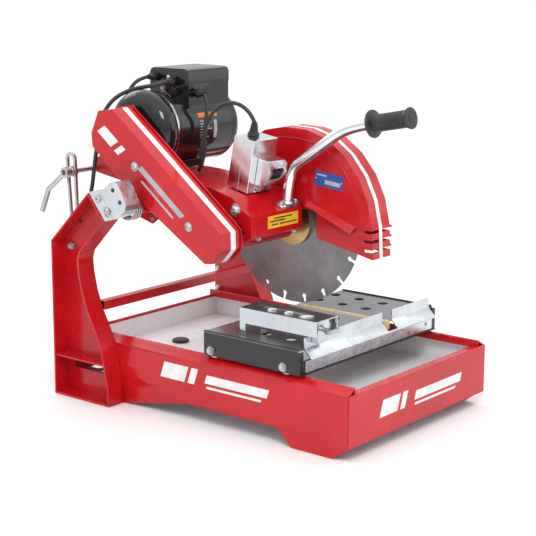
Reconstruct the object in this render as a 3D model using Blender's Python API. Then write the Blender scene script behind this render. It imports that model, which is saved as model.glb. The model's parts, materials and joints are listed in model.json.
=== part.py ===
"""Masonry table saw: a sheet steel pan on feet, a rolling cart, and a pivoting cutting head.

All shapes are drawn from one datum, the top front left corner of the pan, with +X to the
right, +Y to the back and +Z up, and hang on the empty "saw", which puts the origin on the
floor under the middle of the machine.  Lengths are metres.
"""
import math

import bmesh
import bpy
from mathutils import Matrix, Vector

# ---------------------------------------------------------------- driving dimensions
PAN_W = 0.488            # pan, outside width
DRAIN_X = 0.228          # drain plug, a little left of the middle
PAN_L = 0.766            # pan, outside length
LENGTH = 0.8327          # whole machine, front panel to lock crank
FLOOR_Z = -0.132         # floor, under the pan's top edge
SHEET = 0.003            # frame sheet steel
PLATE = 0.004            # upright and bracket plate
GAP = 0.0004             # clearance between touching pieces

SIDE_BOTTOM = -0.094     # lower edge of the side walls
FRONT_BOTTOM = -0.104    # lower edge of the front wall
RAIL_X = 0.0216          # rail crest, in from the side wall
RAIL_Z = 0.0125          # rail crest height
TRAY_Z = -0.052          # underside of the water tray
TRAY_T = 0.0015

UP_OUT = -0.045          # free edge of the upright's flanges
UP_WEB = -0.0044         # outer face of the upright's web

PIVOT = Vector((0.0, 0.595, 0.292))      # head pivot, axis along X
ARBOR = Vector((0.0, 0.379, 0.249))      # blade arbor, axis along X
MOTOR = Vector((0.0, 0.650, 0.443))      # motor shaft, axis along X
STUD = Vector((0.0, 0.750, 0.358))       # lock stud on the head
LINK_PIN = Vector((0.0, 0.742, 0.198))   # lock link pivot on the left upright

BLADE_R = 0.178          # 14 inch diamond blade
BLADE_X = 0.3065
BLADE_T = 0.0028
SEGMENTS = 19
SEGMENT_H = 0.0185

CART_X = 0.0068          # side plate, in from the pan's side
CART_BACK = 0.3746
CART_Y = 0.124           # front of the cart's side plates
CART_TOP = 0.0654
AXLE_Z = 0.0272
AXLE_Y = (0.166, 0.355)
WHEEL_R = 0.017
GROOVE_R = 0.0143

FENCE_Y = 0.130
MOTOR_R = 0.081
GUARD_X = (0.020, 0.080)  # belt guard, outer face and back
BOX_TILT = math.radians(10)

RED = (0.62, 0.035, 0.03, 1)
BLACK = (0.02, 0.02, 0.022, 1)
ZINC = (0.62, 0.64, 0.66, 1)
STEEL = (0.42, 0.42, 0.42, 1)


# ---------------------------------------------------------------- helpers
def clear_scene():
    for obj in list(bpy.data.objects):
        bpy.data.objects.remove(obj, do_unlink=True)


def material(name, colour, roughness, metallic):
    mat = bpy.data.materials.new(name)
    mat.use_nodes = True
    shader = mat.node_tree.nodes["Principled BSDF"]
    shader.inputs["Base Color"].default_value = colour
    shader.inputs["Roughness"].default_value = roughness
    shader.inputs["Metallic"].default_value = metallic
    return mat


def empty(name, at=(0, 0, 0), parent=None):
    obj = bpy.data.objects.new(name, None)
    bpy.context.collection.objects.link(obj)
    obj.parent = parent
    obj["datum"] = tuple(at)
    base = Vector(parent["datum"]) if parent else Vector()
    obj.location = Vector(at) - base
    return obj


def from_bmesh(name, bm, smooth=False):
    bmesh.ops.recalc_face_normals(bm, faces=bm.faces)
    mesh = bpy.data.meshes.new(name)
    bm.to_mesh(mesh)
    bm.free()
    if smooth:
        mesh.shade_smooth()
        mesh.set_sharp_from_angle(angle=math.radians(35))
    obj = bpy.data.objects.new(name, mesh)
    bpy.context.collection.objects.link(obj)
    return obj


def box(name, low, high):
    bm = bmesh.new()
    bmesh.ops.create_cube(bm, size=1)
    low, high = Vector(low), Vector(high)
    for vert in bm.verts:
        vert.co = Vector([low[i] + (vert.co[i] + 0.5) * (high[i] - low[i]) for i in range(3)])
    return from_bmesh(name, bm)


def extrude(name, outline, axis, start, end, smooth=False):
    """A flat outline pushed along one axis.  The outline's pairs are the other two axes in order."""
    others = [i for i in range(3) if i != "XYZ".index(axis)]
    bm = bmesh.new()
    ring = []
    for a, b in outline:
        point = [0.0, 0.0, 0.0]
        point["XYZ".index(axis)] = start
        point[others[0]] = a
        point[others[1]] = b
        ring.append(bm.verts.new(point))
    face = bm.faces.new(ring)
    moved = bmesh.ops.extrude_face_region(bm, geom=[face])["geom"]
    step = Vector([end - start if "XYZ".index(axis) == i else 0.0 for i in range(3)])
    bmesh.ops.translate(bm, vec=step, verts=[g for g in moved if isinstance(g, bmesh.types.BMVert)])
    return from_bmesh(name, bm, smooth)


def turned(name, profile, centre, axis="X", steps=32):
    """A closed profile of (along, radius) pairs, spun round an axis through centre."""
    bm = bmesh.new()
    rings = []
    for i in range(steps):
        angle = 2 * math.pi * i / steps
        ring = []
        for along, radius in profile:
            u, v = radius * math.cos(angle), radius * math.sin(angle)
            local = {"X": (along, u, v), "Y": (u, along, v), "Z": (u, v, along)}[axis]
            ring.append(Vector(local) + Vector(centre))
        rings.append(ring)
    on_axis = [radius < 1e-9 for _, radius in profile]
    verts = []
    for i in range(steps):
        row = []
        for j, point in enumerate(rings[i]):
            row.append(verts[0][j] if on_axis[j] and i else bm.verts.new(point))
        verts.append(row)
    count = len(profile)
    for i in range(steps):
        nxt = (i + 1) % steps
        for j in range(count):
            k = (j + 1) % count
            quad = [verts[i][j], verts[i][k], verts[nxt][k], verts[nxt][j]]
            unique = list(dict.fromkeys(quad))
            if len(unique) > 2:
                bm.faces.new(unique)
    return from_bmesh(name, bm, smooth=True)


def rod(name, start, end, radius, axis="X", at=(0, 0), steps=24):
    """A plain cylinder from start to end along an axis."""
    centre = {"X": (0, at[0], at[1]), "Y": (at[0], 0, at[1]), "Z": (at[0], at[1], 0)}[axis]
    return turned(name, [(start, 0), (start, radius), (end, radius), (end, 0)], centre, axis, steps)


def ring(name, start, end, inner, outer, at, axis="X", steps=32):
    centre = {"X": (0, at[0], at[1]), "Y": (at[0], 0, at[1]), "Z": (at[0], at[1], 0)}[axis]
    profile = [(start, inner), (start, outer), (end, outer), (end, inner)]
    return turned(name, profile, centre, axis, steps)


def arc(centre, radius, first, last, count):
    """Points of an arc in a plane, angles in degrees."""
    points = []
    for i in range(count + 1):
        angle = math.radians(first + (last - first) * i / count)
        points.append((centre[0] + radius * math.cos(angle), centre[1] + radius * math.sin(angle)))
    return points


def combine(target, tools, operation):
    for tool in tools:
        modifier = target.modifiers.new(operation.title(), "BOOLEAN")
        modifier.operation = operation
        modifier.solver = "EXACT"
        modifier.object = tool
        tool.hide_render = True
        tool.display_type = "WIRE"
    target["tools"] = list(target.get("tools", [])) + [tool.name for tool in tools]
    return target


def add(target, *tools):
    return combine(target, tools, "UNION")


def cut(target, *tools):
    return combine(target, tools, "DIFFERENCE")


def turn_about(obj, angle, point):
    """Turn a shape about an X axis through a point."""
    matrix = Matrix.Translation(point) @ Matrix.Rotation(angle, 4, "X") @ Matrix.Translation(-Vector(point))
    obj.data.transform(matrix)
    return obj


def settle(obj, group, mat=None):
    """Hang a shape and its Boolean tools on a group, with their origins on the group's own."""
    for name in obj.get("tools", []):
        settle(bpy.data.objects[name], group)
    obj.data.transform(Matrix.Translation(-Vector(group["datum"])))
    obj.parent = group
    if mat:
        obj.data.materials.clear()
        obj.data.materials.append(mat)
    return obj


def mirrored(value):
    """The matching place on the other side of the pan."""
    return PAN_W - value


def tube(name, points, radius, resolution=3, tight=()):
    """A round bar through points, on a curve with filled ends."""
    curve = bpy.data.curves.new(name, "CURVE")
    curve.dimensions = "3D"
    curve.bevel_depth = radius
    curve.bevel_resolution = resolution
    curve.use_fill_caps = True
    spline = curve.splines.new("POLY")
    spline.points.add(len(points) - 1)
    for i, point in enumerate(points):
        spline.points[i].co = (*point, 1)
    obj = bpy.data.objects.new(name, curve)
    bpy.context.collection.objects.link(obj)
    return obj


def smooth_route(points, steps):
    """A Catmull-Rom curve through the points, with even steps between each pair."""
    pts = [Vector(p) for p in points]
    pts = [2 * pts[0] - pts[1]] + pts + [2 * pts[-1] - pts[-2]]
    route = []
    for i in range(1, len(pts) - 2):
        p0, p1, p2, p3 = pts[i - 1:i + 3]
        for k in range(steps):
            t = k / steps
            route.append(0.5 * (2 * p1 + (p2 - p0) * t + (2 * p0 - 5 * p1 + 4 * p2 - p3) * t ** 2
                                + (3 * p1 - p0 - 3 * p2 + p3) * t ** 3))
    route.append(pts[-2])
    return route


# ---------------------------------------------------------------- pan, uprights and pivot
def side_wall(name, flip):
    """A side wall with its top folded in to the rail the cart rolls on."""
    crest = RAIL_X + 0.0015
    lip = -0.004
    outline = [(0, SIDE_BOTTOM), (0, 0), (RAIL_X - 0.0015, RAIL_Z), (crest, RAIL_Z), (crest + 0.0015, RAIL_Z - 0.0025),
               (crest + 0.0015, lip), (crest - 0.0015, lip), (crest - 0.0015, RAIL_Z - 0.003),
               (RAIL_X - 0.002, RAIL_Z - 0.0035), (SHEET, -0.0015), (SHEET, SIDE_BOTTOM)]
    if flip:
        outline = [(mirrored(x), z) for x, z in reversed(outline)]
    return extrude(name, outline, "Y", 0.004, PAN_L)


def foot(name, low_x, high_x):
    """The lower skirt of one side: a short foot in front and a long tapering one behind."""
    outline = [(0.0022, FRONT_BOTTOM + 0.0012), (0.042, FLOOR_Z + 0.0004), (0.142, FLOOR_Z + 0.0004),
               (0.178, SIDE_BOTTOM - 0.004), (0.416, SIDE_BOTTOM - 0.004), (0.600, FLOOR_Z + 0.0004),
               (PAN_L - 0.001, FLOOR_Z + 0.0004), (PAN_L - 0.001, SIDE_BOTTOM + 0.012),
               (0.0022, SIDE_BOTTOM + 0.012)]
    return extrude(name, outline, "X", low_x, high_x)


def build_pan(group, red, zinc, rubber):
    front = box("front_wall", (0, 0, FRONT_BOTTOM), (PAN_W, SHEET, 0))
    pan = add(front,
              side_wall("left_wall", False), side_wall("right_wall", True),
              box("rear_wall", (0.001, PAN_L - SHEET, SIDE_BOTTOM + 0.001), (PAN_W - 0.001, PAN_L - 0.0005, -0.001)),
              box("front_lip", (0.001, 0.001, -0.0035), (PAN_W - 0.001, 0.020, -0.0005)),
              box("front_return", (0.0060, 0.001, FRONT_BOTTOM + 0.0005),
                  (PAN_W - 0.0060, 0.018, FRONT_BOTTOM + SHEET)),
              foot("left_skirt", 0.0015, 0.0045), foot("right_skirt", mirrored(0.0045), mirrored(0.0015)),
              box("left_sole", (0.0020, 0.050, FLOOR_Z), (0.026, 0.134, FLOOR_Z + SHEET)),
              box("right_sole", (mirrored(0.026), 0.050, FLOOR_Z),
                  (mirrored(0.0020), 0.134, FLOOR_Z + SHEET)))
    pan.name = "pan_frame"
    for label, x in (("left", 0.0), ("right", PAN_W)):
        cut(pan, box(label + "_hand_slot", (x - 0.01, 0.660, -0.076), (x + 0.01, 0.750, -0.059)))
    settle(pan, group, red)

    wall = 0.0055
    low = (wall, SHEET + 0.0025, TRAY_Z)
    high = (PAN_W - wall, PAN_L - SHEET - 0.0005, -0.0075)
    tray = box("water_tray", low, high)
    inside = box("tray_hollow", (low[0] + TRAY_T, low[1] + TRAY_T, TRAY_Z + TRAY_T),
                 (high[0] - TRAY_T, high[1] - TRAY_T, 0.01))
    drain = rod("drain_hole", TRAY_Z - 0.01, TRAY_Z + 0.01, 0.0150, "Z", (DRAIN_X, 0.646))
    cut(tray, inside, drain)
    settle(tray, group, zinc)

    body = empty("drain_axis", (DRAIN_X, 0.646, TRAY_Z), group)
    top = TRAY_T + 0.0004
    profile = [(-0.010, 0), (-0.010, 0.0125), (0.0, 0.0146), (top, 0.0146), (top, 0.0195), (top + 0.004, 0.0195),
               (top + 0.006, 0.017), (top + 0.006, 0)]
    plug = turned("drain_plug", profile, (DRAIN_X, 0.646, TRAY_Z), "Z", 24)
    settle(plug, body, rubber)


def upright_outline():
    front = [(0.604, FLOOR_Z), (0.6045, -0.092), (0.623, 0.0), (0.642, 0.038), (0.660, 0.070), (0.675, 0.110),
             (0.684, 0.150), (0.686, 0.178), (0.680, 0.196)]
    return front + [(0.606, 0.271), (0.6515, 0.327), (0.770, 0.212), (0.772, FLOOR_Z)]


def inset(outline, distance):
    """Move each corner of a clockwise or anticlockwise outline inwards."""
    area = sum(a[0] * b[1] - b[0] * a[1] for a, b in zip(outline, outline[1:] + outline[:1]))
    side = 1 if area > 0 else -1
    result = []
    count = len(outline)
    for i in range(count):
        before, here, after = (Vector(outline[(i + k) % count]) for k in (-1, 0, 1))
        d1, d2 = (here - before).normalized(), (after - here).normalized()
        n1, n2 = Vector((-d1.y, d1.x)) * side, Vector((-d2.y, d2.x)) * side
        mitre = (n1 + n2).normalized()
        result.append(tuple(here + mitre * distance / max(mitre.dot(n1), 0.5)))
    return result


def build_upright(name, flip, group, red):
    """A channel of folded plate: web, outward flanges, a shelf, and a hand slot under it."""
    outline = upright_outline()
    shape = extrude(name, outline, "X", UP_OUT, 0.0 - GAP)
    hollow = extrude(name + "_hollow", inset(outline, PLATE), "X", UP_OUT - 0.01, UP_WEB)
    slot = box(name + "_slot", (UP_OUT, 0.660, -0.076), (0.01, 0.750, -0.059))
    slot_end = rod(name + "_slot_end", UP_WEB - 0.01, 0.01, 0.0085, "X", (0.660, -0.0675), 16)
    pin_hole = rod(name + "_pin_hole", UP_WEB - 0.01, 0.01, 0.0055, "X", (LINK_PIN.y, LINK_PIN.z), 16)
    cut(shape, hollow, slot, slot_end, pin_hole)
    add(shape, box(name + "_shelf", (UP_OUT + 0.003, 0.612, -0.046), (UP_WEB + 0.001, 0.770, -0.042)))
    if flip:
        for obj in [shape] + [bpy.data.objects[n] for n in shape["tools"]]:
            flip_across(obj)
    settle(shape, group, red)


def flip_across(obj):
    """Mirror a shape to the other side of the pan."""
    obj.data.transform(Matrix.Translation((PAN_W, 0, 0)) @ Matrix.Scale(-1, 4, (1, 0, 0)))
    obj.data.flip_normals()


def build_pivot_bracket(name, flip, group, zinc):
    """A plated block bolted to the upright's sloping top, bored for the pivot shaft."""
    outline = [(0.651, 0.3295), (0.603, 0.341), (0.588, 0.355), (0.571, 0.358), (0.558, 0.344), (0.541, 0.312),
               (0.545, 0.300), (0.560, 0.287), (0.6015, 0.2722), (0.6053, 0.2732)]
    block = extrude(name, outline, "X", UP_OUT + 0.002, -0.002)
    add(block, ring(name + "_boss", -0.012, 0.0035, 0.009, 0.0165, (PIVOT.y, PIVOT.z), steps=24))
    cut(block, rod(name + "_bore", -0.06, 0.02, 0.0103, "X", (PIVOT.y, PIVOT.z)))
    if flip:
        for obj in [block] + [bpy.data.objects[n] for n in block["tools"]]:
            flip_across(obj)
    settle(block, group, zinc)


def spring_wire(group, steel):
    """The lift spring: a coil round the pivot shaft with one leg up to the head."""
    points = []
    turns = 4.5
    count = 72
    for i in range(count + 1):
        angle = math.radians(200) - 2 * math.pi * turns * i / count
        x = 0.0085 + 0.0300 * i / count
        points.append((x, PIVOT.y + 0.0225 * math.cos(angle), PIVOT.z + 0.0225 * math.sin(angle)))
    last = Vector(points[-1])
    points.append(last + Vector((0.0005, 0.0034, -0.0094)))
    points.append(last + Vector((0.0005, 0.0070, -0.0200)))
    wire = tube("torsion_spring", points, 0.0026, 2)
    settle_curve(wire, group, steel)


def settle_curve(obj, group, mat):
    for spline in obj.data.splines:
        for point in spline.points:
            point.co = (*(Vector(point.co[:3]) - Vector(group["datum"])), 1)
    obj.parent = group
    obj.data.materials.append(mat)
    for polygon in obj.data.splines:
        polygon.use_smooth = True
    return obj


def build_frame(group, mats):
    build_pan(group, mats["red"], mats["tray"], mats["rubber"])
    build_upright("left_upright", False, group, mats["red"])
    build_upright("right_upright", True, group, mats["red"])
    start, end = GAP, mirrored(GAP)
    bar = box("cross_bar", (start, 0.655, 0.066), (end, 0.6745, 0.0855))
    cut(bar, box("bar_bore", (start - 0.01, 0.657, 0.068), (end + 0.01, 0.6725, 0.0835)))
    settle(bar, group, mats["red"])
    build_pivot_bracket("left_pivot_bracket", False, group, mats["zinc"])
    build_pivot_bracket("right_pivot_bracket", True, group, mats["zinc"])
    shaft = rod("pivot_shaft", UP_OUT + 0.004, mirrored(UP_OUT + 0.004), 0.0100, "X", (PIVOT.y, PIVOT.z))
    settle(shaft, group, mats["steel"])
    spring_wire(group, mats["steel"])
    pin = turned("link_pin", [(-0.0125, 0), (-0.0125, 0.0085), (-0.0050, 0.0085), (-0.0050, 0.0050),
                              (0.0075, 0.0050), (0.0075, 0.0085), (0.0125, 0.0085), (0.0125, 0)],
                 (0, LINK_PIN.y, LINK_PIN.z), "X", 18)
    settle(pin, group, mats["steel"])


def build_link(root, group, mats):
    """The slotted lock link on its pin, and the stud and crank that clamp it to the head."""
    length = (STUD - LINK_PIN).length
    top = length + 0.027
    link = extrude("lock_link", arc((0, 0), 0.0105, 180, 360, 6) + arc((0, top), 0.0150, 0, 180, 8),
                   "X", 0.0004, 0.0064)
    slot = extrude("link_slot", arc((0, 0.030), 0.0062, 180, 360, 6) + arc((0, top), 0.0086, 0, 180, 8),
                   "X", -0.01, 0.02)
    cut(link, slot, rod("link_bore", -0.01, 0.02, 0.0054, "X", (0, 0), 18))
    lean = -math.atan2(STUD.y - LINK_PIN.y, STUD.z - LINK_PIN.z)
    for obj in (link, bpy.data.objects["link_slot"], bpy.data.objects["link_bore"]):
        turn_about(obj, lean, (0, 0, 0))
        obj.data.transform(Matrix.Translation(LINK_PIN))
    settle(link, root, mats["zinc"])

    stud = rod("lock_stud", -0.0080, 0.0840, 0.0056, "X", (STUD.y, STUD.z), 18)
    add(stud, ring("stud_collar", 0.0072, 0.0110, 0.004, 0.0120, (STUD.y, STUD.z), steps=18))
    settle(stud, group, mats["steel"])

    crank = empty("crank_axis", (-0.012, STUD.y, STUD.z), group)
    hub = ring("lock_crank", -0.0200, -0.0012, 0.0060, 0.0115, (STUD.y, STUD.z), steps=18)
    start = Vector((-0.0150, STUD.y + 0.008, STUD.z - 0.006))
    bend = Vector((-0.0150, STUD.y + 0.056, STUD.z - 0.043))
    tip = Vector((-0.0150, STUD.y + 0.078, STUD.z - 0.092))
    arm = limb("crank_arm", start, bend, 0.0054)
    grip = limb("crank_grip", bend - (tip - bend).normalized() * 0.003, tip, 0.0060)
    add(hub, arm, grip)
    settle(hub, crank, mats["zinc"])


def limb(name, start, end, radius, steps=12):
    """A cylinder between two points."""
    length = (end - start).length
    obj = turned(name, [(0, 0), (0, radius), (length, radius), (length, 0)], (0, 0, 0), "Z", steps)
    turn = (end - start).to_track_quat("Z", "Y").to_matrix().to_4x4()
    obj.data.transform(Matrix.Translation(start) @ turn)
    return obj


# ---------------------------------------------------------------- head
GUARD_FACE = [(0.339, 0.267), (0.338, 0.231), (0.363, 0.203), (0.384, 0.201), (0.547, 0.301), (0.608, 0.341),
              (0.664, 0.382), (0.677, 0.395), (0.702, 0.414), (0.704, 0.444), (0.682, 0.492), (0.640, 0.498)]


def build_belt_guard(group, mats):
    cover = extrude("belt_guard_cover", GUARD_FACE, "X", GUARD_X[0], GUARD_X[1] - 0.001)
    cut(cover, extrude("cover_hollow", inset(GUARD_FACE, 0.0025), "X", GUARD_X[0] + 0.0025, GUARD_X[1] + 0.01))
    settle(cover, group, mats["red"])
    plate_outline = inset(GUARD_FACE, -0.004)
    plate = extrude("belt_guard_backplate", plate_outline, "X", GUARD_X[1] - 0.0006, GUARD_X[1] + 0.0024)
    lug = [(0.556, 0.300), (0.562, 0.268), (0.585, 0.252), (0.622, 0.262), (0.672, 0.336), (0.764, 0.350),
           (0.764, 0.372), (0.716, 0.400), (0.690, 0.402), (0.60, 0.337)]
    add(plate, extrude("backplate_lug", lug, "X", GUARD_X[1] - 0.0006, GUARD_X[1] + 0.0024))
    cut(plate, rod("backplate_arbor_hole", 0.06, 0.10, 0.0150, "X", (ARBOR.y, ARBOR.z)),
        rod("backplate_motor_hole", 0.06, 0.10, 0.0130, "X", (MOTOR.y, MOTOR.z)),
        rod("backplate_pivot_hole", 0.06, 0.10, 0.0170, "X", (PIVOT.y, PIVOT.z)),
        rod("backplate_stud_hole", 0.06, 0.10, 0.0060, "X", (STUD.y, STUD.z), 18))
    settle(plate, group, mats["red"])


def build_arm(group, mats):
    """The welded arm: a box beam from the pivot tube to the arbor, with the motor bed on top."""
    outline = [(0.330, 0.247), (0.330, 0.292), (0.358, 0.303), (0.378, 0.325), (0.440, 0.341), (0.560, 0.352),
               (0.700, 0.358), (0.716, 0.352), (0.716, 0.346), (0.640, 0.330), (0.612, 0.2755), (0.580, 0.268),
               (0.440, 0.236), (0.400, 0.226), (0.360, 0.232)]
    arm = extrude("head_arm", outline, "X", 0.105, 0.272)
    inside = [(0.334, 0.252), (0.334, 0.289), (0.360, 0.299), (0.380, 0.321), (0.441, 0.337), (0.600, 0.349),
              (0.600, 0.290), (0.576, 0.273), (0.440, 0.241), (0.400, 0.231), (0.362, 0.237)]
    underside = box("arm_underside", (0.109, 0.420, 0.15), (0.268, 0.565, 0.30))
    cut(arm, extrude("arm_hollow", inside, "X", 0.109, 0.268), underside)
    tube_outer = rod("pivot_tube", 0.045, mirrored(0.045), 0.0165, "X", (PIVOT.y, PIVOT.z))
    add(arm, tube_outer)
    cut(arm, rod("pivot_tube_bore", 0.03, mirrored(0.03), 0.0104, "X", (PIVOT.y, PIVOT.z)),
        rod("arm_bearing_seat", 0.09, 0.30, 0.0304, "X", (ARBOR.y, ARBOR.z)),
        rod("arm_motor_seat", 0.09, 0.1508, 0.0886, "X", (MOTOR.y, MOTOR.z), 48))
    settle(arm, group, mats["red"])
    housing = ring("bearing_housing", 0.140, 0.268, 0.0130, 0.0300, (ARBOR.y, ARBOR.z), steps=28)
    settle(housing, group, mats["red"])


def build_motor(group, spin, mats):
    at = (0, MOTOR.y, MOTOR.z)
    r = MOTOR_R
    bell = [(0.094, 0.0120), (0.094, 0.050), (0.098, 0.070), (0.108, 0.083), (0.121, 0.088), (0.134, 0.087),
            (0.1440, 0.0815), (0.1500, 0.0815), (0.1500, 0.060), (0.110, 0.056), (0.106, 0.0120)]
    settle(turned("motor_drive_end", bell, at, "X", 40), group, mats["black"])
    barrel = [(0.1504, 0.072), (0.1504, r - 0.001), (0.334, r - 0.001), (0.334, 0.072), (0.300, 0.072),
              (0.300, 0.042), (0.200, 0.042), (0.200, 0.072)]
    settle(turned("motor_barrel", barrel, at, "X", 40), group, mats["black"])
    fan = [(0.3344, 0), (0.3344, r - 0.001), (0.338, r - 0.001), (0.352, 0.072), (0.358, 0.055), (0.358, 0)]
    settle(turned("motor_fan_end", fan, at, "X", 40), group, mats["black"])

    rotor = [(0.0400, 0), (0.0400, 0.0095), (0.197, 0.0095), (0.197, 0.0412), (0.303, 0.0412), (0.303, 0.0095),
             (0.3335, 0.0095), (0.3335, 0)]
    settle(turned("motor_rotor", rotor, at, "X", 24), spin, mats["steel"])
    settle(turned("motor_pulley", pulley_profile(0.023, 0.0099), at, "X", 28), spin, mats["steel"])

    box_shape = [(0.700, 0.462), (0.700, 0.562), (0.696, 0.5695), (0.688, 0.572), (0.598, 0.572), (0.590, 0.5695),
                 (0.586, 0.562), (0.586, 0.462)]
    terminal = extrude("terminal_box", box_shape, "X", 0.200, 0.330, smooth=True)
    for x, y, z, length in ((0.197, 0.685, 0.553, 0.010), (0.197, 0.630, 0.545, 0.010)):
        add(terminal, rod("gland%.3f" % y, x - length, x + 0.006, 0.0085, "X", (y, z), 14))
    add(terminal, rod("gland_front", 0.572, 0.589, 0.0085, "Y", (0.222, 0.520), 14))
    cut(terminal, box("terminal_inside", (0.203, 0.589, 0.44), (0.327, 0.697, 0.569)))
    cut(terminal, rod("barrel_seat", 0.15, 0.40, r - 0.0006, "X", (MOTOR.y, MOTOR.z), 40))
    settle(terminal, group, mats["black"])


def pulley_profile(radius, bore):
    lip = radius + 0.0055
    return [(0.0430, bore), (0.0430, lip), (0.0452, lip), (0.0475, radius), (0.0555, radius), (0.0578, lip),
            (0.0600, lip), (0.0600, bore)]


def belt_outline(radius_a, radius_b):
    """The outline of a band drawn tight round the two pulleys."""
    direction = math.degrees(math.atan2(MOTOR.z - ARBOR.z, MOTOR.y - ARBOR.y))
    return (arc((MOTOR.y, MOTOR.z), radius_a, direction - 90, direction + 90, 14)
            + arc((ARBOR.y, ARBOR.z), radius_b, direction + 90, direction + 270, 14))


def build_arbor(group, spin, mats):
    at = (0, ARBOR.y, ARBOR.z)
    belt = extrude("drive_belt", belt_outline(0.0298, 0.0338), "X", 0.0478, 0.0552, smooth=True)
    cut(belt, extrude("belt_inside", belt_outline(0.0238, 0.0278), "X", 0.03, 0.08))
    settle(belt, group, mats["rubber"])

    settle(rod("arbor_shaft", 0.0380, 0.3370, 0.0120, "X", at[1:]), spin, mats["steel"])
    settle(turned("arbor_pulley", pulley_profile(0.027, 0.0124), at, "X", 28), spin, mats["steel"])
    inner = [(0.276, 0.0124), (0.276, 0.020), (0.296, 0.020), (0.298, 0.050), (0.3046, 0.050), (0.3046, 0.0124)]
    settle(turned("inner_flange", inner, at, "X", 28), spin, mats["yellow_zinc"])
    outer = [(0.3084, 0.0124), (0.3084, 0.050), (0.3144, 0.050), (0.3170, 0.020), (0.3190, 0.020), (0.3190, 0.0124)]
    settle(turned("outer_flange", outer, at, "X", 28), spin, mats["yellow_zinc"])
    nut = extrude("arbor_nut", arc((ARBOR.y, ARBOR.z), 0.0205, 0, 300, 5), "X", 0.3194, 0.3330)
    cut(nut, rod("nut_bore", 0.30, 0.35, 0.0124, "X", at[1:]))
    settle(nut, spin, mats["steel"])

    settle(blade(), spin, mats["blade"])


def blade():
    """A segmented diamond blade: keyhole gullets between the rim segments."""
    pitch = 360.0 / SEGMENTS
    centre = (ARBOR.y, ARBOR.z)
    outline = []
    for i in range(SEGMENTS):
        middle = -62.6 + i * pitch
        half = math.degrees(0.0036 / BLADE_R)
        floor = BLADE_R - SEGMENT_H
        wide = math.degrees(0.0058 / floor)
        outline += arc(centre, BLADE_R, middle + half, middle + pitch - half, 4)
        nxt = middle + pitch
        for radius, offset in ((floor + 0.0090, -half), (floor + 0.0030, -wide), (floor - 0.0020, 0.0),
                               (floor + 0.0030, wide), (floor + 0.0090, half)):
            outline.append(polar(centre, radius, nxt + offset))
    disc = extrude("blade", outline, "X", BLADE_X - BLADE_T / 2, BLADE_X + BLADE_T / 2)
    return cut(disc, rod("blade_bore", BLADE_X - 0.01, BLADE_X + 0.01, 0.0124, "X", centre))


def polar(centre, radius, degrees):
    angle = math.radians(degrees)
    return (centre[0] + radius * math.cos(angle), centre[1] + radius * math.sin(angle))


def build_blade_guard(group, mats):
    outline = [(0.150, 0.197), (0.153, 0.262), (0.166, 0.318), (0.190, 0.366), (0.226, 0.408), (0.272, 0.440),
               (0.325, 0.455), (0.385, 0.457), (0.440, 0.446), (0.490, 0.416), (0.530, 0.372), (0.552, 0.325),
               (0.566, 0.290), (0.566, 0.235), (0.556, 0.180), (0.530, 0.180), (0.470, 0.226), (0.297, 0.226)]
    inside = inset(outline, 0.0025)
    inside = [(y, z) for y, z in inside[1:15]] + [(0.530, 0.10), (0.1535, 0.10)]
    hood = extrude("blade_guard", outline, "X", 0.2800, 0.3450)
    cut(hood, extrude("guard_hollow", inside, "X", 0.2825, 0.3425))
    window = [(0.297, 0.15), (0.297, 0.285), (0.462, 0.285), (0.462, 0.15)]
    cut(hood, extrude("guard_window", window, "X", 0.27, 0.290))
    for i in range(3):
        z = 0.212 + i * 0.020
        cut(hood, box("louvre%d" % i, (0.270, 0.140, z), (0.355, 0.172, z + 0.006)))
    settle(hood, group, mats["red"])


def build_switch(group, mats):
    outline = [(0.413, 0.449), (0.359, 0.440), (0.380, 0.3285), (0.4345, 0.3425)]
    case = extrude("switch_box", outline, "X", 0.150, 0.228)
    inside = [(0.4105, 0.4464), (0.3617, 0.4383), (0.3828, 0.3200), (0.4328, 0.3300)]
    cut(case, extrude("switch_inside", inside, "X", 0.152, 0.226))
    settle(case, group, mats["zinc"])
    shroud_outline = [(0.3655, 0.402), (0.338, 0.397), (0.334, 0.372), (0.356, 0.344), (0.3764, 0.3455)]
    shroud = extrude("switch_shroud", shroud_outline, "X", 0.170, 0.226)
    cut(shroud, extrude("shroud_mouth", [(0.380, 0.388), (0.32, 0.377), (0.32, 0.352), (0.382, 0.364)], "X",
                        0.180, 0.216))
    settle(shroud, group, mats["zinc"])
    toggle_axis = empty("toggle_axis", (0.198, 0.3705, 0.3740), group)
    lever = box("switch_toggle", (0.190, 0.3440, 0.3710), (0.206, 0.3685, 0.3770))
    settle(lever, toggle_axis, mats["black"])


def build_handle(group, mats):
    x = 0.240
    spine = [(x, 0.3455, 0.3035), (x, 0.343, 0.325), (x, 0.338, 0.352), (x, 0.332, 0.369), (x, 0.320, 0.385),
             (x, 0.300, 0.399), (x, 0.243, 0.438), (x, 0.215, 0.456), (x, 0.191, 0.468), (x, 0.160, 0.478),
             (x, 0.128, 0.485), (x, 0.052, 0.500)]
    route = smooth_route(spine, 2)
    handle = tube("handle_tube", route, 0.0115, 3)
    settle_curve(handle, group, mats["chrome"])
    lean = math.atan2(0.500 - 0.485, 0.128 - 0.052)
    profile = [(0.0, 0.0118), (0.0, 0.0285), (0.005, 0.0285), (0.008, 0.018), (0.085, 0.0175), (0.092, 0.022),
               (0.0955, 0.022), (0.0955, 0.0118)]
    grip = turned("handle_grip", profile, (0, 0, 0), "Y", 28)
    direction = Vector((0, -math.cos(lean), math.sin(lean)))
    rotation = Vector((0, 1, 0)).rotation_difference(direction).to_matrix().to_4x4()
    grip.data.transform(Matrix.Translation((x, 0.128, 0.485)) @ rotation)
    settle(grip, group, mats["rubber"])


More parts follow.
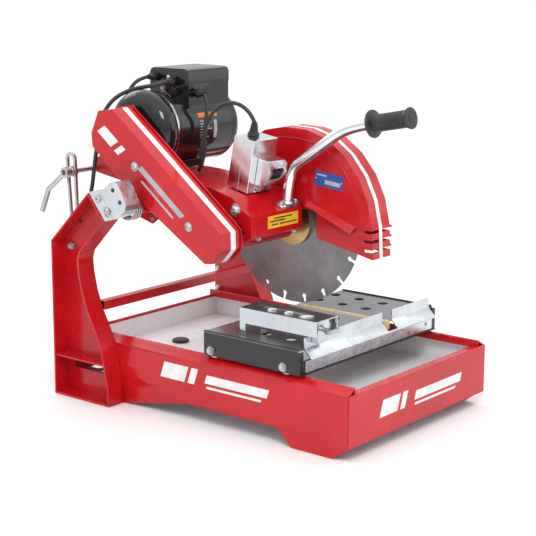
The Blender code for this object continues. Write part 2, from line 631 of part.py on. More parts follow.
# ---------------------------------------------------------------- cart
def build_cart(root, mats):
    cart = empty("cart", (PAN_W / 2, 0.250, RAIL_Z), root)
    low_x, high_x = CART_X, mirrored(CART_X)
    frame = box("cart_frame", (low_x, CART_Y, 0.016), (high_x, CART_BACK, 0.0624))
    cut(frame, box("frame_inside", (low_x + 0.002, CART_Y + 0.002, 0.0), (high_x - 0.002, CART_BACK - 0.002, 0.1)),
        box("frame_front", (low_x + 0.010, CART_Y - 0.01, 0.0442), (high_x - 0.010, 0.1335, 0.1)))
    bores = [rod("axle_bore%d%d" % (side, i), -0.02 + side * 0.46, 0.03 + side * 0.47, 0.0042, "X", (y, AXLE_Z), 14)
             for side in (0, 1) for i, y in enumerate(AXLE_Y)]
    cut(frame, *bores)
    settle(frame, cart, mats["black"])

    table = box("cart_table", (low_x, 0.1326, 0.0628), (high_x, CART_BACK, CART_TOP))
    cut(table, box("table_slot", (0.2995, 0.10, 0.05), (0.3215, 0.40, 0.08)))
    add(table, box("table_tie", (0.2960, 0.3300, 0.0440), (0.3250, 0.3700, 0.0460)),
        box("table_tie_left", (0.2960, 0.3300, 0.0440), (0.2985, 0.3700, 0.0640)),
        box("table_tie_right", (0.3225, 0.3300, 0.0440), (0.3250, 0.3700, 0.0640)))
    for x in (0.070, 0.132, 0.194, 0.256, 0.370, 0.432):
        for i, y in enumerate((0.358, 0.293, 0.229)):
            shift = -0.032 if x in (0.070, 0.194) else 0.0
            cut(table, rod("hole%.3f%d" % (x, i), 0.05, 0.08, 0.0115, "Z", (x, y + shift), 16))
    settle(table, cart, mats["table"])

    strip = box("wood_strip", (0.2999, 0.1330, 0.0464), (0.3211, CART_BACK - 0.0026, CART_TOP - 0.0002))
    cut(strip, box("strip_kerf", (BLADE_X - 0.0028, 0.10, 0.0525), (BLADE_X + 0.0028, 0.40, 0.08)))
    settle(strip, cart, mats["wood"])

    angle = [(0.1321, 0.0880), (0.1290, 0.0880), (0.1290, 0.0672), (0.1105, 0.0478), (0.1127, 0.0456),
             (0.1321, 0.0645)]
    fence = extrude("fence", angle, "X", 0.027, 0.463)
    cut(fence, box("fence_notch", (0.2885, 0.10, 0.0500), (0.3240, 0.14, 0.10)))
    settle(fence, cart, mats["zinc"])
    settle(box("front_bar", (0.020, 0.1200, 0.0205), (0.463, 0.1236, 0.0440)), cart, mats["zinc"])

    wheel = [(-0.0060, 0.0045), (-0.0060, WHEEL_R), (-0.0022, GROOVE_R), (0.0022, GROOVE_R), (0.0060, WHEEL_R), (0.0060, 0.0045)]
    axle = [(-0.0200, 0), (-0.0200, 0.0080), (-0.0152, 0.0080), (-0.0152, 0.0040), (0.0068, 0.0040),
            (0.0068, 0.0075), (0.0110, 0.0075), (0.0110, 0)]
    for side, x in (("left", RAIL_X), ("right", mirrored(RAIL_X))):
        for end, y in zip(("front", "back"), AXLE_Y):
            sign = 1 if side == "left" else -1
            hub = empty("%s_%s_hub" % (side, end), (x, y, AXLE_Z), cart)
            settle(turned("wheel_%s_%s" % (side, end), wheel, (x, y, AXLE_Z), "X", 24), hub, mats["steel"])
            bolt = turned("axle_%s_%s" % (side, end), [(sign * a, r) for a, r in axle], (x, y, AXLE_Z), "X", 16)
            settle(bolt, cart, mats["steel"])
    build_guide(cart, mats)


def build_guide(cart, mats):
    """The sliding stop: an upturned channel on the table with a clamp in front of the fence."""
    guide = empty("guide", (0.066, 0.200, 0.122), cart)
    channel = box("guide_channel", (0.032, 0.104, 0.0658), (0.100, 0.300, 0.1222))
    cut(channel, box("channel_inside", (0.0345, 0.09, 0.05), (0.0975, 0.31, 0.1197)),
        box("channel_under", (0.02, 0.09, 0.05), (0.11, 0.285, 0.0900)),
        box("channel_slot", (0.0610, 0.150, 0.11), (0.0710, 0.260, 0.13)))
    settle(channel, guide, mats["polished"])
    clamp = box("guide_clamp", (0.0480, 0.1130, 0.0740), (0.0840, 0.1286, 0.1193))
    cut(clamp, rod("clamp_bore", 0.10, 0.14, 0.0046, "Y", (0.066, 0.1000), 14))
    settle(clamp, guide, mats["polished"])
    thumb = empty("thumb_axis", (0.066, 0.104, 0.1000), guide)
    screw = rod("thumb_screw", 0.0900, 0.1284, 0.0042, "Y", (0.066, 0.1000), 14)
    add(screw, box("thumb_wings", (0.0510, 0.0860, 0.0955), (0.0810, 0.1000, 0.1045)))
    settle(screw, thumb, mats["steel"])


# ---------------------------------------------------------------- cables and cord
CORD_R = 0.0045
LEAD_ROUTE = [(0.1864, 0.630, 0.545), (0.172, 0.633, 0.5448), (0.150, 0.650, 0.5375), (0.132, 0.691, 0.5280),
              (0.120, 0.728, 0.5095), (0.108, 0.748, 0.484), (0.088, 0.753, 0.450), (0.072, 0.745, 0.425),
              (0.063, 0.734, 0.406), (0.050, 0.724, 0.388)]
SWITCH_ROUTE = [(0.190, 0.395, 0.4468), (0.190, 0.392, 0.472), (0.184, 0.410, 0.500), (0.176, 0.440, 0.512),
                (0.168, 0.475, 0.500), (0.160, 0.500, 0.466), (0.158, 0.512, 0.420), (0.165, 0.522, 0.380),
                (0.180, 0.540, 0.3600)]
MOTOR_ROUTE = [(0.222, 0.5715, 0.520), (0.222, 0.565, 0.5195), (0.221, 0.556, 0.512), (0.218, 0.550, 0.490), (0.212, 0.550, 0.440),
               (0.206, 0.548, 0.400), (0.200, 0.552, 0.3620)]
CORD_ROUTE = [(0.042, 0.721, 0.362), (0.037, 0.732, 0.300), (0.034, 0.772, 0.240), (0.031, 0.786, 0.190),
              (0.031, 0.786, 0.100), (0.031, 0.786, 0.000), (0.050, 0.790, -0.080), (0.110, 0.800, -0.120),
              (0.175, 0.818, -0.1272), (0.215, 0.8255, -0.1272), (0.2408, 0.826, -0.1272)]
COIL = (0.300, 0.826)
COIL_R = (0.0403, 0.0587)


def build_cables(root, head, mats):
    for name, route, steps, radius in (("switch_cable", SWITCH_ROUTE, 3, 0.0042), ("motor_cable", MOTOR_ROUTE, 3,
                                                                                   0.0042),
                                       ("power_lead", LEAD_ROUTE, 4, CORD_R)):
        settle_curve(tube(name, smooth_route(route, steps), radius, 2), head, mats["rubber"])
    settle_curve(tube("power_cord", smooth_route(CORD_ROUTE, 5), CORD_R, 2), root, mats["rubber"])
    clip = box("cord_clip", (0.020, 0.7728, 0.120), (0.046, 0.7935, 0.136))
    add(clip, box("clip_arm", (-0.034, 0.7728, 0.1205), (0.022, 0.7768, 0.1355)))
    cut(clip, rod("clip_hole", 0.10, 0.15, CORD_R + 0.0007, "Z", (0.0310, 0.7860), 16))
    settle(clip, root, mats["rubber"])
    profile = [(0.0, COIL_R[0]), (0.0, COIL_R[1]), (0.0185, COIL_R[1]), (0.0185, COIL_R[0])]
    coil = turned("cord_coil", profile, (COIL[0], COIL[1], FLOOR_Z + 0.0002), "Z", 28)
    settle(coil, root, mats["rubber"])
    body = [(0.0, 0.0), (0.0, 0.0060), (0.010, 0.0070), (0.018, 0.0130), (0.046, 0.0135), (0.050, 0.0120),
            (0.050, 0.0)]
    plug = turned("cord_plug", body, (0.372, COIL[1], FLOOR_Z + 0.0137), "X", 20)
    for name, y, z, depth in (("plug_line", -0.0064, 0.0035, 0.0030), ("plug_neutral", 0.0064, 0.0035, 0.0030)):
        add(plug, box(name, (0.415, COIL[1] + y - 0.0008, FLOOR_Z + 0.0137 + z - depth),
                      (0.440, COIL[1] + y + 0.0008, FLOOR_Z + 0.0137 + z + depth)))
    add(plug, rod("plug_earth", 0.415, 0.4430, 0.0024, "X", (COIL[1], FLOOR_Z + 0.0072), 12))
    settle(plug, root, mats["rubber"])


def main():
    clear_scene()
    mats = {
        "red": material("red paint", RED, 0.3, 0.0),
        "tray": material("galvanised tray", (0.75, 0.76, 0.77, 1), 0.45, 0.6),
        "zinc": material("zinc plate", ZINC, 0.35, 0.9),
        "polished": material("polished zinc", (0.72, 0.74, 0.76, 1), 0.2, 1.0),
        "steel": material("bright steel", STEEL, 0.3, 1.0),
        "blade": material("blade steel", (0.33, 0.33, 0.33, 1), 0.4, 0.9),
        "yellow_zinc": material("yellow zinc", (0.65, 0.48, 0.16, 1), 0.35, 0.9),
        "chrome": material("chrome", (0.8, 0.8, 0.8, 1), 0.1, 1.0),
        "black": material("black paint", BLACK, 0.25, 0.0),
        "table": material("table paint", (0.2, 0.2, 0.21, 1), 0.25, 0.6),
        "wood": material("wood", (0.75, 0.62, 0.40, 1), 0.7, 0.0),
        "rubber": material("rubber", (0.025, 0.025, 0.025, 1), 0.55, 0.0),
    }
    saw = empty("saw")
    build_frame(saw, mats)
    head = empty("head", PIVOT + Vector((PAN_W / 2, 0, 0)), saw)
    link_axis = empty("link_axis", LINK_PIN + Vector((0.003, 0, 0)), saw)
    build_link(link_axis, head, mats)
    build_belt_guard(head, mats)
    build_arm(head, mats)
    motor_spin = empty("motor_spin", MOTOR + Vector((0.25, 0, 0)), head)
    build_motor(head, motor_spin, mats)
    blade_spin = empty("blade_spin", ARBOR + Vector((BLADE_X, 0, 0)), head)
    build_arbor(head, blade_spin, mats)
    build_blade_guard(head, mats)
    build_switch(head, mats)
    build_handle(head, mats)
    build_cart(saw, mats)
    build_cables(saw, head, mats)
    saw.location = (-PAN_W / 2, -LENGTH / 2, -FLOOR_Z)


main()
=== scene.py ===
"""Looks for the masonry saw: materials, detail pieces, floor, light and camera."""

import json
import math

import bmesh
import bpy
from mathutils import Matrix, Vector


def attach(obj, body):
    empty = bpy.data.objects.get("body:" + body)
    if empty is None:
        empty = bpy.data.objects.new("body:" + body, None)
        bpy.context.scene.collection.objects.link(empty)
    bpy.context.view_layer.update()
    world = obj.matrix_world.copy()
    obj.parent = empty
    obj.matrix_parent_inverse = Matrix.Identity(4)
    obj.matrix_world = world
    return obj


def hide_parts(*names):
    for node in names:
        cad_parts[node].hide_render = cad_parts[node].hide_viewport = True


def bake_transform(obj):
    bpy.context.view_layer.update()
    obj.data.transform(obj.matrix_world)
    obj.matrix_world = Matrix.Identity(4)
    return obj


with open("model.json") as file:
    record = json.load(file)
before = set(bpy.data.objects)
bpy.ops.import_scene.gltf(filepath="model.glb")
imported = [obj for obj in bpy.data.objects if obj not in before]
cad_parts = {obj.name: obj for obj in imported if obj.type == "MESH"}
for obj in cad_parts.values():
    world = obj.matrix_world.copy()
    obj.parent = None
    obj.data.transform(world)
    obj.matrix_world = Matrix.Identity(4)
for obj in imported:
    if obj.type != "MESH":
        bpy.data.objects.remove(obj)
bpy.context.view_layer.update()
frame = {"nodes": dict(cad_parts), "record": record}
NODES = frame["nodes"]

# the CAD's datum, the pan's top front left corner, in the row frame; every place below is measured from it
DATUM = Vector((-0.244, -0.41635, 0.132))
# the axes that parts turn round, all along X, as (y, z)
PIVOT = (0.595, 0.292)
ARBOR = (0.379, 0.249)
MOTOR = (0.650, 0.443)
PAN_WIDTH = 0.488


def at(x, y, z):
    return Vector((x, y, z)) + DATUM


# ---------------------------------------------------------------- camera, light and floor
def make_camera():
    data = bpy.data.cameras.new("camera")
    camera = bpy.data.objects.new("camera", data)
    bpy.context.scene.collection.objects.link(camera)
    camera.location = at(-2.106, -1.5364, 0.8175)
    look = Vector((0.75393, 0.62139, -0.21322))
    camera.rotation_euler = look.to_track_quat("-Z", "Y").to_euler()
    data.sensor_width = 36
    data.lens = 96.9
    data.clip_start = 0.05
    bpy.context.scene.camera = camera


def area_light(name, location, target, size, power):
    data = bpy.data.lights.new(name, "AREA")
    data.shape = "RECTANGLE"
    data.size, data.size_y = size
    data.energy = power
    lamp = bpy.data.objects.new(name, data)
    bpy.context.scene.collection.objects.link(lamp)
    lamp.location = location
    lamp.rotation_euler = (Vector(target) - Vector(location)).to_track_quat("-Z", "Y").to_euler()


def make_studio():
    world = bpy.data.worlds.new("studio")
    world.use_nodes = True
    tree = world.node_tree
    background = tree.nodes["Background"]
    background.inputs["Color"].default_value = (0.98, 0.99, 1.0, 1)
    split = tree.nodes.new("ShaderNodeSeparateXYZ")
    rise = tree.nodes.new("ShaderNodeMapRange")
    # the world brightens with height: height from and to, then strength from and to
    for i, number in enumerate((0.02, 0.75, 0.62, 1.33)):
        rise.inputs[i + 1].default_value = number
    tree.links.new(tree.nodes.new("ShaderNodeTexCoord").outputs["Generated"], split.inputs[0])
    tree.links.new(split.outputs[2], rise.inputs[0])
    tree.links.new(rise.outputs[0], background.inputs["Strength"])
    bpy.context.scene.world = world
    bpy.context.scene.view_settings.view_transform = "Standard"
    area_light("key", (-1.6, -1.6, 2.4), (0, 0, 0.3), (0.9, 0.9), 30)
    area_light("fill", (1.8, -1.9, 1.3), (0, 0, 0.3), (1.4, 1.4), 5)
    area_light("rim", (0.2, 2.2, 1.9), (0, 0, 0.4), (1.8, 0.9), 9)
    mesh = bpy.data.meshes.new("floor")
    bm = bmesh.new()
    bmesh.ops.create_grid(bm, x_segments=2, y_segments=2, size=30)
    bm.to_mesh(mesh)
    bm.free()
    floor = bpy.data.objects.new("floor", mesh)
    bpy.context.scene.collection.objects.link(floor)
    floor.location.z = -0.0008
    mesh.materials.append(plain("floor", (0.88, 0.88, 0.88), 0.7))


def plain(name, colour, roughness):
    mat = bpy.data.materials.new(name)
    mat.use_nodes = True
    shader = mat.node_tree.nodes["Principled BSDF"]
    shader.inputs["Base Color"].default_value = (*colour, 1)
    shader.inputs["Roughness"].default_value = roughness
    return mat


# ---------------------------------------------------------------- materials
class Nodes:
    """A small builder for procedural materials on the object's own coordinates."""

    def __init__(self, name):
        self.mat = bpy.data.materials.new(name)
        self.mat.use_nodes = True
        self.tree = self.mat.node_tree
        self.shader = self.tree.nodes["Principled BSDF"]
        self.coords = self.tree.nodes.new("ShaderNodeTexCoord").outputs["Object"]

    def new(self, kind, **inputs):
        node = self.tree.nodes.new(kind)
        for key, value in inputs.items():
            self.put(node, key.replace("_", " "), value)
        return node

    def put(self, node, key, value):
        socket = node.inputs[key]
        if isinstance(value, bpy.types.NodeSocket):
            self.tree.links.new(value, socket)
        else:
            socket.default_value = value

    def stretch(self, scale):
        node = self.new("ShaderNodeMapping", Vector=self.coords)
        node.inputs["Scale"].default_value = scale
        return node.outputs[0]

    def noise(self, scale, detail=3.0, rough=0.55, vector=None):
        node = self.new("ShaderNodeTexNoise", Vector=vector or self.coords, Scale=scale, Detail=detail)
        node.inputs["Roughness"].default_value = rough
        return node.outputs["Fac"]

    def remap(self, value, low, high, out_low, out_high):
        node = self.new("ShaderNodeMapRange", Value=value)
        for i, number in enumerate((low, high, out_low, out_high)):
            node.inputs[i + 1].default_value = number
        return node.outputs[0]

    def mix(self, factor, a, b):
        node = self.tree.nodes.new("ShaderNodeMix")
        node.data_type = "RGBA"
        for socket, value in zip((node.inputs[0], node.inputs[6], node.inputs[7]), (factor, a, b)):
            if isinstance(value, bpy.types.NodeSocket):
                self.tree.links.new(value, socket)
            else:
                socket.default_value = value if isinstance(value, float) else (*value, 1)
        return node.outputs[2]

    def bump(self, height, strength, distance):
        node = self.new("ShaderNodeBump", Height=height)
        node.inputs["Strength"].default_value = strength
        node.inputs["Distance"].default_value = distance
        self.tree.links.new(node.outputs[0], self.shader.inputs["Normal"])

    def set(self, **values):
        for key, value in values.items():
            self.put(self.shader, key.replace("_", " "), value)


def paint(name, colour, deep, chip, rough=(0.16, 0.30), coat=0.2, shine=0.35):
    n = Nodes(name)
    tone = n.mix(n.remap(n.noise(9, 4), 0.35, 0.65, 0.0, 1.0), colour, deep)
    speck = n.remap(n.noise(260, 2, 0.7), 0.72, 0.76, 0.0, 0.10)
    tone = n.mix(speck, tone, chip)
    n.set(Base_Color=tone, Roughness=n.remap(n.noise(34, 5, 0.6), 0.3, 0.7, *rough))
    n.set(Coat_Weight=coat, Coat_Roughness=0.05, Specular_IOR_Level=shine)
    n.bump(n.noise(420, 2, 0.5), 0.05, 0.0006)
    return n.mat


def zinc(name, colour, deep, rough=(0.22, 0.42), spangle=46.0, metallic=1.0, bump=0.10):
    n = Nodes(name)
    cells = n.new("ShaderNodeTexVoronoi", Vector=n.coords, Scale=spangle)
    grey = n.new("ShaderNodeRGBToBW", Color=cells.outputs["Color"]).outputs[0]
    patch = n.noise(7, 4, 0.6)
    both = n.new("ShaderNodeMath")
    n.put(both, 0, n.remap(grey, 0, 1, 0.0, 0.55))
    n.put(both, 1, n.remap(patch, 0.35, 0.65, 0.0, 0.45))
    n.set(Base_Color=n.mix(both.outputs[0], colour, deep), Metallic=metallic)
    n.set(Roughness=n.remap(n.noise(60, 4), 0.3, 0.7, *rough))
    n.bump(n.noise(150, 3), bump, 0.0005)
    return n.mat


def brushed(name, colour, deep, scale, rough=(0.24, 0.44)):
    n = Nodes(name)
    grain = n.noise(220, 3, 0.6, n.stretch(scale))
    blotch = n.remap(n.noise(11, 4), 0.35, 0.65, 0.0, 1.0)
    n.set(Base_Color=n.mix(blotch, colour, deep), Metallic=1.0, Roughness=n.remap(grain, 0.3, 0.7, *rough))
    n.bump(grain, 0.08, 0.0003)
    return n.mat


def turned_steel(name, colour, deep, centre):
    """Steel with fine rings round an axis along X, at centre as (y, z)."""
    n = Nodes(name)
    split = n.new("ShaderNodeSeparateXYZ", Vector=n.coords)

    def maths(operation, first, second=None):
        node = n.new("ShaderNodeMath")
        node.operation = operation
        n.put(node, 0, first)
        if second is not None:
            n.put(node, 1, second)
        return node.outputs[0]

    def square(output, value):
        off = maths("SUBTRACT", output, value)
        return maths("MULTIPLY", off, off)

    total = maths("ADD", square(split.outputs[1], centre[0]), square(split.outputs[2], centre[1]))
    rings = n.new("ShaderNodeTexNoise", Scale=1.0, Detail=4.0)
    rings.noise_dimensions = "1D"
    n.put(rings, "W", maths("MULTIPLY", maths("SQRT", total), 900.0))
    grain = rings.outputs["Fac"]
    cloud = n.remap(n.noise(13, 5, 0.65), 0.35, 0.65, 0.0, 1.0)
    n.set(Base_Color=n.mix(cloud, colour, deep), Metallic=0.85)
    n.set(Roughness=n.remap(grain, 0.3, 0.7, 0.26, 0.46))
    n.bump(grain, 0.10, 0.0002)
    return n.mat


def rubber(name, colour, rough=(0.42, 0.62)):
    n = Nodes(name)
    dusty = [c * 1.7 + 0.01 for c in colour]
    n.set(Base_Color=n.mix(n.remap(n.noise(30, 4), 0.3, 0.7, 0.0, 1.0), colour, dusty))
    n.set(Roughness=n.remap(n.noise(90, 3), 0.3, 0.7, *rough))
    n.bump(n.noise(700, 2), 0.12, 0.0003)
    return n.mat


def wood_grain():
    n = Nodes("wood")
    grain = n.noise(70, 5, 0.6, n.stretch((9.0, 0.35, 4.0)))
    tone = n.mix(n.remap(grain, 0.35, 0.65, 0.0, 1.0), (0.74, 0.60, 0.38), (0.55, 0.39, 0.20))
    n.set(Base_Color=tone, Roughness=n.remap(grain, 0.3, 0.7, 0.6, 0.8))
    n.bump(grain, 0.25, 0.0004)
    return n.mat


def label(name, colour, rough=0.35):
    n = Nodes(name)
    worn = [c * 0.82 for c in colour]
    n.set(Base_Color=n.mix(n.remap(n.noise(40, 3), 0.35, 0.65, 0.0, 1.0), colour, worn))
    n.set(Roughness=n.remap(n.noise(120, 3), 0.3, 0.7, rough, rough + 0.15))
    n.bump(n.noise(300, 2), 0.04, 0.0003)
    return n.mat


MATS = {}


def make_materials():
    MATS.update({
        "red": paint("red paint", (0.56, 0.007, 0.011), (0.46, 0.005, 0.008), (0.72, 0.12, 0.10)),
        "black": paint("black paint", (0.006, 0.006, 0.007), (0.011, 0.011, 0.012), (0.05, 0.05, 0.05),
                       rough=(0.09, 0.18), coat=0.3, shine=0.4),
        "table": paint("table paint", (0.085, 0.088, 0.095), (0.12, 0.125, 0.13), (0.3, 0.3, 0.3),
                       rough=(0.10, 0.22)),
        "tray": zinc("galvanised tray", (0.93, 0.93, 0.94), (0.80, 0.81, 0.82), rough=(0.30, 0.5),
                     spangle=30.0, metallic=0.10, bump=0.16),
        "zinc": zinc("zinc plate", (0.74, 0.77, 0.80), (0.54, 0.57, 0.61), rough=(0.20, 0.38),
                     spangle=40.0, bump=0.04),
        "polished": zinc("polished zinc", (0.66, 0.68, 0.70), (0.48, 0.51, 0.54), rough=(0.14, 0.26),
                         spangle=24.0, bump=0.04),
        "sheet": zinc("bright sheet", (0.80, 0.81, 0.82), (0.66, 0.67, 0.69), rough=(0.15, 0.27),
                      spangle=16.0, bump=0.03),
        "steel": brushed("bright steel", (0.62, 0.62, 0.62), (0.46, 0.46, 0.46), (1, 1, 1)),
        "blade": turned_steel("blade steel", (0.30, 0.30, 0.305), (0.21, 0.21, 0.215),
                              (ARBOR[0] + DATUM.y, ARBOR[1] + DATUM.z)),
        "yellow": zinc("yellow zinc", (0.62, 0.42, 0.13), (0.50, 0.40, 0.22), rough=(0.25, 0.42),
                       spangle=70.0),
        "chrome": brushed("chrome", (0.86, 0.87, 0.88), (0.74, 0.75, 0.77), (1, 6, 6), (0.08, 0.20)),
        "rubber": rubber("rubber", (0.016, 0.016, 0.017)),
        "grip": rubber("grip rubber", (0.012, 0.012, 0.013), (0.3, 0.5)),
        "wood": wood_grain(),
        "white": label("white decal and painted glint", (0.85, 0.85, 0.85)),
        "silver": label("silver mark", (0.45, 0.45, 0.46)),
        "label_yellow": label("yellow label", (0.85, 0.55, 0.03)),
        "label_orange": label("orange label", (0.80, 0.22, 0.02)),
        "label_blue": label("blue plate", (0.02, 0.09, 0.38)),
        "ink": label("dark print", (0.03, 0.03, 0.03)),
        "copper": brushed("copper wire", (0.55, 0.25, 0.12), (0.40, 0.17, 0.08), (1, 1, 1)),
    })


NODE_MATS = {
    "red": "pan_frame left_upright right_upright cross_bar head_arm belt_guard_cover belt_guard_backplate "
           "bearing_housing blade_guard",
    "black": "motor_drive_end motor_barrel motor_fan_end terminal_box switch_toggle cart_frame",
    "table": "cart_table",
    "tray": "water_tray",
    "zinc": "left_pivot_bracket right_pivot_bracket fence front_bar",
    "sheet": "switch_box switch_shroud",
    "polished": "guide_channel guide_clamp",
    "steel": "lock_link lock_crank pivot_shaft torsion_spring link_pin lock_stud motor_rotor motor_pulley "
             "arbor_shaft arbor_pulley arbor_nut axle_left_front axle_left_back axle_right_front "
             "axle_right_back wheel_left_front wheel_left_back wheel_right_front wheel_right_back "
             "thumb_screw",
    "blade": "blade",
    "yellow": "inner_flange outer_flange",
    "chrome": "handle_tube",
    "grip": "handle_grip",
    "wood": "wood_strip",
    "rubber": "drain_plug drive_belt switch_cable motor_cable power_lead power_cord cord_clip cord_coil "
              "cord_plug",
}
MATERIAL_OF = {node: key for key, nodes in NODE_MATS.items() for node in nodes.split()}
BODY_OF = {node: body for body, nodes in frame["record"]["behaviour"]["bodies"].items() for node in nodes}


def paint_nodes():
    for node, key in MATERIAL_OF.items():
        slots = NODES[node].data.materials
        slots.clear()
        slots.append(MATS[key])


# ---------------------------------------------------------------- pieces
def finish_piece(name, bm, mat, body, smooth=35, bevel=0.0):
    """The bmesh as an object that rides on a body: smooth is in degrees, bevel rounds its edges."""
    mesh = bpy.data.meshes.new(name)
    bm.to_mesh(mesh)
    bm.free()
    mesh.materials.append(mat)
    mesh.shade_smooth()
    mesh.set_sharp_from_angle(angle=math.radians(smooth))
    obj = bpy.data.objects.new(name, mesh)
    bpy.context.scene.collection.objects.link(obj)
    if bevel:
        soften(obj, bevel)
    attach(obj, body)
    return obj


def soften(obj, width):
    modifier = obj.modifiers.new("edges", "BEVEL")
    modifier.width = width
    modifier.segments = 2
    modifier.limit_method = "ANGLE"
    modifier.angle_limit = math.radians(30)
    modifier.use_clamp_overlap = True
    modifier.harden_normals = True
    modifier.miter_outer = "MITER_ARC"


def refine(node, width):
    """The CAD node's own shape with its sheet edges rounded over."""
    same_place, same_flat = 2e-6, math.radians(0.6)
    bm = bmesh.new()
    bm.from_mesh(NODES[node].data)
    bmesh.ops.remove_doubles(bm, verts=bm.verts, dist=same_place)
    bmesh.ops.dissolve_limit(bm, angle_limit=same_flat, verts=bm.verts, edges=bm.edges)
    obj = finish_piece(node + "_skin", bm, MATS[MATERIAL_OF[node]], BODY_OF[node], bevel=width)
    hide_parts(node)


# ---------------------------------------------------------------- shapes
def unit(v):
    return Vector(v).normalized()


def solid(name, rings, mat, body, bevel=0.0, smooth=35):
    """Two rings of as many points, each closed by a face and joined by a wall."""
    bm = bmesh.new()
    first, last = [[bm.verts.new(point) for point in ring] for ring in rings]
    bm.faces.new(first)
    bm.faces.new(last)
    for i in range(len(first)):
        j = (i + 1) % len(first)
        bm.faces.new((first[i], first[j], last[j], last[i]))
    bmesh.ops.recalc_face_normals(bm, faces=bm.faces)
    return finish_piece(name, bm, mat, body, smooth, bevel)


def prism(name, outline, axis, start, end, mat, body, bevel=0.0):
    """A flat outline, in the datum's two other axes, pushed along one axis."""
    k = "XYZ".index(axis)
    rings = [[at(*pair[:k], depth, *pair[k:]) for pair in outline] for depth in (start, end)]
    return solid(name, rings, mat, body, bevel)


def revolve_bm(bm, profile, origin, direction, steps=24, turn=0.0):
    """A closed profile of (along, radius) pairs spun round a line."""
    w = unit(direction)
    u = w.orthogonal().normalized()
    v = w.cross(u)
    base = at(*origin)
    rows = []
    for i in range(steps):
        a = 2 * math.pi * i / steps + turn
        out = u * math.cos(a) + v * math.sin(a)
        row = []
        for j, (along, radius) in enumerate(profile):
            row.append(rows[0][j] if i and radius < 1e-9 else bm.verts.new(base + w * along + out * radius))
        rows.append(row)
    for i in range(steps):
        k = (i + 1) % steps
        for j in range(len(profile)):
            m = (j + 1) % len(profile)
            quad = list(dict.fromkeys([rows[i][j], rows[i][m], rows[k][m], rows[k][j]]))
            if len(quad) > 2:
                bm.faces.new(quad)


def revolve(name, profile, origin, direction, mat, body, steps=24, smooth=35):
    bm = bmesh.new()
    revolve_bm(bm, profile, origin, direction, steps)
    bmesh.ops.recalc_face_normals(bm, faces=bm.faces)
    return finish_piece(name, bm, mat, body, smooth)


def scaled(profile, size):
    return [(size * along, size * radius) for along, radius in profile]


def dome_bolt(name, origin, direction, radius, body, mat=None):
    """A washer under a low round head with a small socket."""
    profile = [(0, 0), (0, 1.35), (0.16, 1.38), (0.22, 1.30), (0.22, 1.0), (0.42, 1.0), (0.66, 0.84),
               (0.80, 0.55), (0.83, 0.30), (0.60, 0.24), (0.60, 0)]
    mat = mat or MATS["steel"]
    return revolve(name, scaled(profile, radius), origin, direction, mat, body, 22, smooth=32)


def hex_bolt(name, origin, direction, radius, body):
    """A round washer under a six-sided head."""
    washer = [(0, 0), (0, 1.35), (0.2, 1.35), (0.2, 0)]
    head = [(0.2, 0), (0.2, 1.0), (0.85, 1.0), (0.98, 0.86), (0.98, 0)]
    bm = bmesh.new()
    revolve_bm(bm, scaled(washer, radius), origin, direction, 22)
    revolve_bm(bm, scaled(head, radius), origin, direction, 6, turn=0.3)
    bmesh.ops.recalc_face_normals(bm, faces=bm.faces)
    return finish_piece(name, bm, MATS["steel"], body, 30)


def catmull(points, steps):
    """A smooth curve through the points, with so many steps between each two."""
    pts = [Vector(p) for p in points]
    pts = [2 * pts[0] - pts[1]] + pts + [2 * pts[-1] - pts[-2]]
    route = []
    for i in range(1, len(pts) - 2):
        p0, p1, p2, p3 = pts[i - 1:i + 3]
        for k in range(steps):
            t = k / steps
            route.append(0.5 * (2 * p1 + (p2 - p0) * t + (2 * p0 - 5 * p1 + 4 * p2 - p3) * t ** 2
                                + (3 * p1 - p0 - 3 * p2 + p3) * t ** 3))
    route.append(pts[-2])
    return route


def sweep_bm(bm, points, radius, sides=12):
    """A tube of rings carried along the points without twist."""
    tangents = []
    for i in range(len(points)):
        a, b = points[max(i - 1, 0)], points[min(i + 1, len(points) - 1)]
        tangents.append((b - a).normalized())
    normal = tangents[0].orthogonal().normalized()
    rings = []
    for i, point in enumerate(points):
        if i:
            normal = tangents[i - 1].rotation_difference(tangents[i]) @ normal
        binormal = tangents[i].cross(normal)
        r = radius(i / (len(points) - 1)) if callable(radius) else radius
        rings.append([bm.verts.new(point + (normal * math.cos(2 * math.pi * k / sides)
                                            + binormal * math.sin(2 * math.pi * k / sides)) * r)
                      for k in range(sides)])
    for i in range(len(rings) - 1):
        for k in range(sides):
            m = (k + 1) % sides
            bm.faces.new((rings[i][k], rings[i][m], rings[i + 1][m], rings[i + 1][k]))
    bm.faces.new(rings[0])
    bm.faces.new(rings[-1])


def sweep(name, points, radius, mat, body, sides=12):
    bm = bmesh.new()
    sweep_bm(bm, points, radius, sides)
    bmesh.ops.recalc_face_normals(bm, faces=bm.faces)
    return finish_piece(name, bm, mat, body, 50)


def ribbon(name, path, x0, x1, lift, thick, mat, body):
    """A thin band over a path of (y, z) pairs, on its outer side."""
    pts = [Vector(p) for p in path]
    inner, outer = [], []
    for i, p in enumerate(pts):
        a, b = pts[max(i - 1, 0)], pts[min(i + 1, len(pts) - 1)]
        n1 = Vector(((p - a).y, -(p - a).x)).normalized() if i else Vector((0, 0))
        n2 = Vector(((b - p).y, -(b - p).x)).normalized() if i < len(pts) - 1 else Vector((0, 0))
        n = (n1 + n2).normalized()
        scale = 1 / max(n.dot(n1 if i else n2), 0.5)
        inner.append(p + n * lift * scale)
        outer.append(p + n * (lift + thick) * scale)
    outline = [tuple(p) for p in inner] + [tuple(p) for p in reversed(outer)]
    return prism(name, outline, "X", x0, x1, mat, body)


